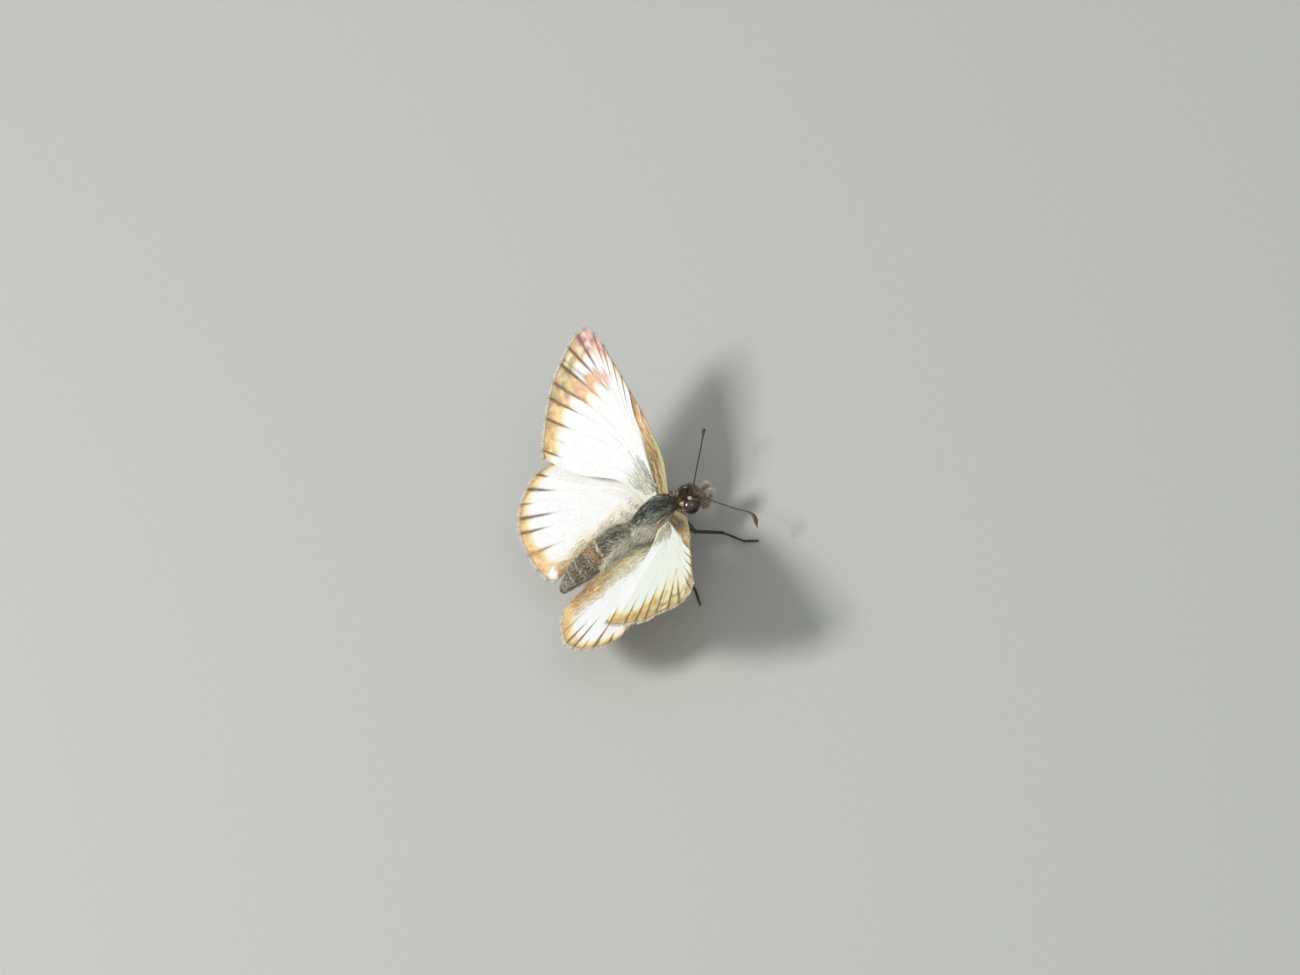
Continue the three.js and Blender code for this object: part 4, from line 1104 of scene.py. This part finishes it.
for side, sign in (("left", 1), ("right", -1)):
    low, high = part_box("eye_" + side)
    seat = (low + high) / 2
    seat.x = low.x if side == "left" else high.x
    bpy.ops.object.select_all(action="DESELECT")
    bpy.ops.mesh.primitive_uv_sphere_add(segments=72, ring_count=48, radius=1)
    eye = bpy.context.object
    eye.name = "eye_dome_" + side
    bpy.ops.transform.resize(value=(high.x - low.x, (high.y - low.y) / 2, (high.z - low.z) / 2))
    bpy.ops.transform.translate(value=seat)
    bpy.ops.object.transform_apply(location=True, rotation=True, scale=True)
    # the inner half is shallow and sits in the head
    for vertex in eye.data.vertices:
        if sign * (vertex.co.x - seat.x) < 0:
            vertex.co.x = seat.x + 0.3 * (vertex.co.x - seat.x)
    bpy.ops.object.shade_smooth()
    eye.data.materials.append(eye_dome)
    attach(eye, "root")
    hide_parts("eye_" + side)

    # short scales stand round the rim of each eye, pale before and behind it
    draw = np.random.default_rng(107 + sign)
    count = 1500
    turn = draw.uniform(0, 2 * np.pi, count)
    reach = draw.uniform(0.86, 1.04, count) * (high.y - low.y) / 2 / MM
    around = np.stack([np.zeros(count), np.cos(turn), np.sin(turn)], axis=1)
    outward = np.array([sign, 0.0, 0.0])
    inward = -outward * (0.1 + 0.16 * draw.uniform(0, 1, (count, 1)))
    root = np.array(seat) / MM + around * reach[:, None] + inward
    lie = around * draw.uniform(0.2, 0.7, (count, 1)) + 0.9 * outward
    lie = unit(lie + draw.normal(0, 0.15, (count, 3)))
    pale = np.maximum(band(turn, 0.55, 0.35, 0.2), band(turn, 2.6, 0.45, 0.2))
    shade = layers(COAT["pitch"], (COAT["gold"], draw.uniform(0, 0.6, count)),
                   (COAT["cream"], some(draw, 0.12 + 0.75 * pale, count)))
    ring = grow_tufts("eye_ring_" + side, draw, root, lie, around, (0.1, 0.2), 0.03, 0.1, 0.15,
                      shade * 0.8, shade * 1.1,
                      np.stack([0.02 + turn / 7, 0.4 + reach * 0.2], axis=1), SCALE)

# ---- Palps ----
# Two upcurved feelers stand before the face. Each is a slim jointed core in a brush of long pale and
# brown bristles.

PALP_PATH = [(1.25, 0.42, -1.98), (1.7, 0.44, -1.84), (2.2, 0.46, -1.48), (2.75, 0.46, -0.98)]
PALP_RADII = [(0, 0.0), (0.03, 0.15), (0.4, 0.25), (0.62, 0.21), (0.7, 0.13), (0.8, 0.12), (0.97, 0.05),
              (1, 0)]
PALP_RINGS = 40
PALP_SIDES = 20
PALP_LOCKS = 34


def tube_rings(path, radii, rings, sides):
    """Rows of places round a path given as forward, left and up, with a radius for each share of it."""
    shares = np.linspace(0, 1, rings)
    places = spot(*smooth_path(path, shares).T)
    ahead = unit(np.gradient(places, axis=0))
    across = unit(np.cross(ahead, [0.0, 0.0, 1.0]))
    over = unit(np.cross(across, ahead))
    radius = np.interp(shares, *np.array(radii, float).T)
    turn = np.linspace(0, 2 * np.pi, sides + 1)[None, :, None]
    ring = across[:, None] * np.cos(turn) + over[:, None] * np.sin(turn)
    grid = places[:, None] + ring * radius[:, None, None]
    grid[:, -1] = grid[:, 0]
    return grid, places, ahead, ring, radius


finish = {"Roughness": 0.6, "Specular IOR Level": 0.3, "Base Color": (*linear(150, 128, 100), 1)}
palp_core, tree, shader, at_mm = new_material("palp_core", finish)
add_bump(tree, shader, add_node(tree, "TexNoise", {"Vector": at_mm, "Scale": 10})["Fac"], 0.03)

for side, sign in (("left", 1), ("right", -1)):
    path = np.array(PALP_PATH) * [1, sign, 1]
    grid, line, ahead, ring, radius = tube_rings(path, PALP_RADII, PALP_RINGS, PALP_SIDES)
    palp = wrap_grid("palp_core_" + side, grid)
    palp.data.materials.append(palp_core)
    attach(palp, "root")
    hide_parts("palp_" + side)

    # the bristles gather in locks, and every lock leans its own way
    draw = np.random.default_rng(110 + sign)
    count = 1900
    k = (1 + 35.5 * draw.uniform(0, 1, count)).astype(int)
    column = draw.integers(0, PALP_SIDES, count)
    out = unit(ring[k, column])
    lock = draw.normal(0, 0.42, (PALP_LOCKS, 3))[draw.integers(0, PALP_LOCKS, count)]
    long = some(draw, 0.3, count)
    lie = ahead[k] * draw.uniform(0.8, 1.1, (count, 1)) + out * draw.uniform(0.1, 0.5, (count, 1))
    lie = unit(lie + lock + draw.normal(0, 0.08, (count, 3)) + [0, 0, 0.15])
    upper = smooth_step(-0.2, 0.8, out[:, 2])
    share = k / (PALP_RINGS - 1)
    brown = np.where(some(draw, 0.25 + 0.3 * upper, count), 0.9, 0.1)
    shade = layers(COAT["chalk"], (linear(190, 156, 134), brown),
                   (COAT["pitch"], 0.8 * some(draw, 0.12 + 0.15 * upper, count)))
    shade = vary_shade(draw, shade, 0.15) * 1.15
    length = draw.uniform(0.22, 0.46, count) + 0.4 * long * draw.uniform(0.4, 1.0, count)
    length = length * (1 - 0.35 * smooth_step(0.75, 1.0, share))
    brush = grow_tufts("palp_bristles_" + side, draw, line[k] + out * radius[k][:, None] * 0.9, lie, out,
                       length, (0.02, 0.035), (0.0, 0.3), 0.15, shade * 0.85, shade * 1.1,
                       np.stack([0.02 + column / (PALP_SIDES + 1), 0.02 + 0.95 * share], axis=1))

# ---- Antennae ----
# Each antenna is a ringed thread from the crown to a slim club that bends and ends in a fine hook.
# It is dark brown with pale scales under the club.

ANTENNA_PATHS = {
    "left": [(1.58, 0.42, -0.5), (2.4, 2.0, -0.48), (3.3, 3.6, -0.44), (4.12, 5.2, -0.45), (4.3, 6.0, -0.7)],
    "right": [(1.58, -0.42, -0.5), (2.7, -2.0, -0.8), (3.85, -3.6, -1.12), (5.0, -5.2, -1.45),
              (4.82, -6.42, -1.82)],
}
ANTENNA_RADII = [(0, 0), (0.004, 0.1), (0.03, 0.1), (0.06, 0.058), (0.62, 0.062), (0.72, 0.1), (0.8, 0.17),
                 (0.87, 0.19), (0.92, 0.13), (0.96, 0.07), (0.99, 0.035), (1, 0)]
ANTENNA_JOINTS = 44


def shell_material(name, grain, depth):
    """Hard shell with its painted shade and a fine grain."""
    shell, tree, shader, at_mm = new_material(name, {"Roughness": 0.45, "Specular IOR Level": 0.4})
    feed(tree, shader, {"Base Color": add_node(tree, "Attribute", attribute_name="Coat")["Color"]})
    add_bump(tree, shader, add_node(tree, "TexNoise", {"Vector": at_mm, "Scale": grain})["Fac"], depth)
    return shell


ringed_thread = shell_material("antenna_thread", 20, 0.015)
for side, path in ANTENNA_PATHS.items():
    rings = 6 * ANTENNA_JOINTS + 1
    grid, line, ahead, ring, radius = tube_rings(path, ANTENNA_RADII, rings, 18)
    share = np.linspace(0, 1, rings)[:, None]
    joint = np.abs(np.sin(np.pi * share * ANTENNA_JOINTS))
    grid = line[:, None] + (grid - line[:, None]) * (0.9 + 0.1 * joint[..., None] ** 0.5)
    under = smooth_step(0.2, -0.6, ring[..., 2])
    shade = layers(linear(72, 60, 44), (linear(104, 78, 52), 0.6 * (share > 0.6)),
                   (linear(206, 190, 150), under * band(share, 0.76, 0.1, 0.06)),
                   (linear(180, 164, 130), 0.5 * under * (joint > 0.7)))
    feeler = wrap_grid("antenna_thread_" + side, grid, shade)
    feeler.data.materials.append(ringed_thread)
    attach(feeler, "root")
    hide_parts("antenna_" + side)

# ---- Legs ----
# Six slender jointed legs stand on the floor: thigh, shin and a foot of five joints with two claws,
# in dark brown shell dusted with pale scales; the dark is partly painted shade of the wings above
# them. The middle and hind shins carry spurs.

FOOT_HEIGHT = 0.12
# hip, knee, ankle, middle of the foot, claws: forward, out and up; pairs of spurs
MIDLEG = [(-1.75, 0.6, -1.5), (-1.95, 2.6, -2.25), (-2.4, 4.3, -3.6), (-2.5, 5.4), (-2.6, 7.3), 1]
HINDLEG = [(-2.95, 0.55, -1.4), (-4.3, 2.15, -2.35), (-5.9, 3.2, -3.6), (-6.7, 3.6), (-8.2, 4.35), 2]
LEGS = {
    "foreleg_left": [(-0.55, 0.55, -1.3), (-0.3, 2.3, -1.95), (0.2, 3.1, -3.3), (0.3, 3.95), (0.1, 5.3), 0],
    "foreleg_right": [(-0.55, 0.55, -1.3), (-0.04, 2.35, -1.95), (1.66, 2.85, -3.2), (2.75, 3.85),
                      (3.8, 4.75), 0],
    "midleg_left": MIDLEG, "midleg_right": MIDLEG, "hindleg_left": HINDLEG, "hindleg_right": HINDLEG,
}
SHELLS = [(0, 0.28), (0.28, 0.57), (0.57, 0.72), (0.72, 1.0)]  # thigh, shin and the foot's halves
LEG_RADII = [(0, 0), (0.01, 0.22), (0.14, 0.24), (0.27, 0.16), (0.285, 0.15), (0.3, 0.13), (0.4, 0.14),
             (0.55, 0.13), (0.565, 0.15), (0.58, 0.1)]
for joint in range(5):
    start, thick = 0.58 + 0.084 * joint, 0.095 - 0.008 * joint
    LEG_RADII += [(start + 0.008, thick * 0.8), (start + 0.07, thick * 1.1), (start + 0.082, thick * 0.75)]
LEG_RADII[-1] = (1.0, 0.0)
LEG_RINGS = 241
LEG_SIDES = 14
SPUR_RINGS = (136, 96)  # rings of the shin that carry the outer and the inner spurs
CLAW_RING = -8

leg_shell = shell_material("leg_shell", 16, 0.02)
for number, (name, (hip, knee, ankle, foot, claw, spurs)) in enumerate(LEGS.items()):
    sign = 1 if "left" in name else -1
    floor_up = FOOT_HEIGHT - HINGE_HEIGHT
    joints = np.array([hip, knee, ankle, (*foot, floor_up), (*claw, floor_up)]) * [1, sign, 1]
    # straight shells with short bends at the joints: each shell is filled with evenly set points
    marks, line = [0.0], [joints[0]]
    for k, (low, high) in enumerate(SHELLS):
        for step in np.linspace(0, 1, 9)[1:]:
            marks.append(low + (high - low) * step)
            line.append(joints[k] * (1 - step) + joints[k + 1] * step)
    shares = np.linspace(0, 1, LEG_RINGS)
    bow = np.stack([np.interp(shares, marks, column) for column in np.array(line).T], axis=1)
    for _ in range(3):
        bow[1:-1] = (bow[:-2] + 2 * bow[1:-1] + bow[2:]) / 4
    grid, middle, ahead, ring, radius = tube_rings(bow, LEG_RADII, LEG_RINGS, LEG_SIDES)
    under = smooth_step(0.3, -0.7, ring[..., 2])
    # the legs' dark brown is partly their own colour and partly painted shade of the wings above them
    shade = mix(linear(46, 36, 30), linear(150, 132, 104), 0.6 * under + 0.25 * (shares < 0.28)[:, None])
    leg = wrap_grid(name + "_shell", grid, shade)
    # two claws end the foot, and pairs of spurs stand on the shin
    spines = []
    for side in (-1, 1):
        tip, down = middle[CLAW_RING], np.array([0, 0, -0.03])
        bend = ahead[CLAW_RING] * 0.24 + down + side * 0.1 * unit(np.cross(ahead[CLAW_RING], [0, 0, 1.0]))
        spines.append((tip, tip + bend * 0.6 - down, tip + bend, 0.03))
    for at in SPUR_RINGS[:spurs]:
        sideways = unit(np.cross(ahead[at], [0, 0, 1.0]))
        for side in (-1, 1):
            end = middle[at] + ahead[at] * 0.55 + side * 0.28 * sideways + np.array([0, 0, -0.05])
            spines.append((middle[at], (middle[at] + end) / 2 + side * 0.05 * sideways, end, 0.045))
    bits = [leg]
    for *three, thick in spines:
        path = [(HINGE[1] - p[1], p[0] - HINGE[0], p[2] - HINGE[2]) for p in three]
        spine, *_ = tube_rings(path, [(0, 0), (0.02, thick), (0.6, thick * 0.8), (1, 0)], 12, 8)
        dark = np.ones((*spine.shape[:2], 1)) * linear(60, 46, 36)
        bits.append(wrap_grid(f"{name}_spine_{len(bits) - 1}", spine, dark))
    bpy.ops.object.select_all(action="DESELECT")
    for bit in bits:
        bit.select_set(True)
    bpy.context.view_layer.objects.active = leg
    bpy.ops.object.join()
    leg.data.materials.append(leg_shell)
    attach(leg, "root")
    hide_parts(name)

    # short pale scales lie along the shell, longer on the thigh
    draw = np.random.default_rng(130 + number)
    count = 900
    k = draw.integers(4, 225, count)
    column = draw.integers(0, LEG_SIDES, count)
    out = unit(ring[k, column])
    root = middle[k] + out * radius[k][:, None] * 0.85
    lie = unit(ahead[k] + out * draw.uniform(0.05, 0.35, (count, 1)) + draw.normal(0, 0.08, (count, 3)))
    clear = root[:, 2] + 0.4 * np.minimum(lie[:, 2], 0) > 0.05  # none reaches into the floor
    k, column, out, root, lie = (values[clear] for values in (k, column, out, root, lie))
    count = len(k)
    pale = smooth_step(0.3, -0.6, out[:, 2]) * 0.8 + 0.5 * some(draw, 0.2, count)
    shade = layers(COAT["bark"], (COAT["ash"], pale), (COAT["pitch"], 0.5))
    shade = vary_shade(draw, shade, 0.25)
    down = grow_tufts(name + "_down", draw, root, lie, out,
                      draw.uniform(0.12, 0.2, count) * (1 + smooth_step(90, 30, k)), 0.03, 0.1, 0.1,
                      shade, shade * 1.2,
                      np.stack([0.02 + column / (LEG_SIDES + 1), 0.02 + 0.95 * k / LEG_RINGS], axis=1))

# ---- Wing roots ----
# Hair from the flanks of the thorax spreads over the foot of each wing and hides its hinge, and a
# looser fleece grows along the inner edge of the hindwings beside the abdomen.


def lay_on_wing(name, out, aft):
    """Places on the upper side of a wing for places on its plan."""
    wing = wings[name]
    surface = wing["middle"].reshape(-1, 3)
    local = np.empty((len(out), 3))
    for k, place in enumerate(np.stack([out, aft], axis=1)):
        near = np.argmin(((surface[:, :2] - place) ** 2).sum(axis=1))
        local[k] = (*place, surface[near, 2] + MEMBRANE / 2)
    return local @ wing["turn"].T + wing["seat"]


for number, (side, sign) in enumerate((("left", 1), ("right", -1))):
    # hair of the flank runs out over the foot of both wings and turns backward behind them
    draw = np.random.default_rng(150 + number)
    count = 4200
    f = -0.05 - 7.2 * draw.uniform(0, 1, count) ** 1.25
    if sign > 0:
        top = np.interp(f, [-7.1, -5.2, -4.3, -3.0, -0.8, 0], [0.45, 0.4, 0.95, 1.5, 1.55, 1.3])
    else:
        top = 0.1 - flank_edge(f) + 0.9 * smooth_step(-3.3, -4.2, f) + 0.5 * smooth_step(-5.5, -7.0, f)
        top = top - 0.3 * smooth_step(-2.2, -1.2, f)
    a = sign * (top + np.maximum(1.95 - top, 0.2) * draw.uniform(0, 1, count))
    root, back, out, sideways = root_frame(f, a)
    swing = np.interp(f, [-7.2, -4.5, -0.05], [4.0, 2.0, 0.1])[:, None]
    lie = [sign, 0.0, 0.05] + back * (swing + draw.normal(0, 0.4, (count, 1)))
    lie = unit(lie + draw.normal(0, 0.15, (count, 3)))
    tone = draw.uniform(0, 1, count)
    pale = mix(COAT["ash"], COAT["cream"], tone)
    warm = mix(COAT["buff"], COAT["chalk"], tone)
    low_down = smooth_step(1.1, 1.5, np.abs(a)) if sign < 0 else smooth_step(-3.0, -4.5, f)
    shade = layers(warm, (pale, 0.9 * some(draw, 0.8 if sign > 0 else 0.5, count)),
                   (COAT["pitch"], 0.85 * some(draw, 0.35 * (1 - low_down), count)),
                   (linear(168, 164, 134), 0.8 * smooth_step(-1.6, -3.0, f) * some(draw, 0.5, count)))
    if sign < 0:
        pale_flank = some(draw, 0.65 * smooth_step(-1.3, -2.4, f), count)
        shade = mix(shade, linear(232, 230, 206), 0.8 * pale_flank)
    brown_flank = some(draw, 0.5 * smooth_step(-2.4, -1.0, f), count) * (sign < 0)
    shade = layers(
        shade, (linear(150, 120, 78), 0.8 * brown_flank),
        (COAT["gold"], 0.8 * smooth_step(-1.6, -0.6, f) * some(draw, 0.4, count)),
        (linear(204, 158, 140), 0.7 * (smooth_step(-1.2, -0.3, f) * some(draw, 0.25, count))))
    shade = vary_shade(draw, shade, 0.25)
    hair = grow_tufts("wing_root_hair_" + side, draw, root, lie, unit(out + [0, 0, 1.0]), (0.45, 1.25),
                      (0.03, 0.05), (-0.15, 0.2), 0.3, shade * 0.8, shade * 1.3, coat_patch(f, a))

    # pale grey-green hair lies on the foot of the forewing, running out along the cell
    name = "forewing_" + side
    draw = np.random.default_rng(170 + number)
    count = 1200
    where = 0.1 + 3.0 * draw.uniform(0, 1, count) ** 1.2
    aft = 0.85 + (0.9 + 0.55 * where) * draw.uniform(0, 1, count)
    # the patch thins out toward a rounded, uneven rim
    inside = np.hypot((where - 0.9) / 2.1, (aft - 1.8) / 1.2) < draw.uniform(0.35, 1.05, count)
    where, aft = where[inside], aft[inside]
    count = len(where)
    root = lay_on_wing(name, where, aft)
    ahead = lay_on_wing(name, where + 0.5, aft + 0.12)
    lie = unit(unit(ahead - root) + draw.normal(0, 0.16, (count, 3)))
    up = np.tile(wings[name]["turn"][:, 2], (count, 1))
    ground = linear(232, 233, 214) if sign > 0 else linear(228, 224, 184)
    # a painted glint: a small spot of pale blue light on the left forewing's base hair
    painted_glint = band(where, 0.95, 0.16, 0.15) * band(aft, 2.15, 0.2, 0.15) * (sign > 0)
    shade = layers(
        ground, (SHADES["white"], 0.7 * draw.uniform(0, 1, count)),
        (linear(242, 228, 186), 0.9 * some(draw, 0.3 * smooth_step(1.8, 0.8, where), count)),
        (linear(170, 198, 204), 0.6 * painted_glint),
        (linear(118, 110, 84), 0.85 * some(draw, 0.3 * smooth_step(1.4, 1.1, aft), count)))
    bloom = grow_tufts("forewing_base_hair_" + side, draw, root, lie, up, (0.3, 0.7), (0.03, 0.05),
                       (0.0, 0.1), 0.2, shade, shade * 1.15,
                       np.stack([where, aft], axis=1) / PLAN_SIZE + 0.1)

    # a looser fleece grows along the inner edge of the hindwing, golden toward the rear
    name = "hindwing_" + side
    draw = np.random.default_rng(160 + number)
    count = 2400
    aft = draw.uniform(3.0, 11.3, count)
    across = draw.uniform(0, 1, count) ** 1.8
    inner = np.interp(aft, [3.0, 4.6, 8.0, 11.9], [-0.6, -0.3, -0.42, -0.5])
    width = np.interp(aft, [3.0, 6.0, 9.0, 11.3], [2.0, 1.7, 1.5, 1.1] if sign > 0 else [2.0, 1.9, 2.3, 2.3])
    uneven = 0.95 + 0.2 * np.sin(2.3 * aft) + 0.12 * np.sin(6.1 * aft) + draw.normal(0, 0.12, count)
    where = inner + across * (width * uneven)
    root = lay_on_wing(name, where, aft)
    ahead = lay_on_wing(name, where - 0.06, aft + 0.5)
    lie = unit(unit(ahead - root) + draw.normal(0, 0.13, (count, 3)))
    up = np.tile(wings[name]["turn"][:, 2], (count, 1))
    by_edge = np.exp(-((across / 0.55) ** 2))
    rear = smooth_step(6.4, 9.6, aft)
    near_body = by_edge * (1 - rear) * smooth_step(0.55, 0.0, across)
    shade = layers(
        linear(248, 244, 230), (linear(242, 230, 192), by_edge),
        (linear(206, 196, 150), 0.7 * some(draw, 0.3 * by_edge * (1 - rear), count)),
        (linear(238, 206, 152), 0.85 * rear * smooth_step(1.1, 0.5, across)),
        (linear(200, 150, 106), 0.9 * some(draw, 0.8 * rear * smooth_step(0.5, 0.15, across), count)),
        (COAT["moss"], (0.3 if sign > 0 else 0.6) * some(draw, 0.5 * near_body, count)))
    shade = vary_shade(draw, shade, 0.15)
    fleece = grow_tufts("inner_edge_fleece_" + side, draw, root, lie, up, (0.3, 0.6), (0.03, 0.05),
                        (0.0, 0.15), 0.1, shade * 0.95, shade * 1.2,
                        np.stack([where, aft], axis=1) / PLAN_SIZE + 0.1)
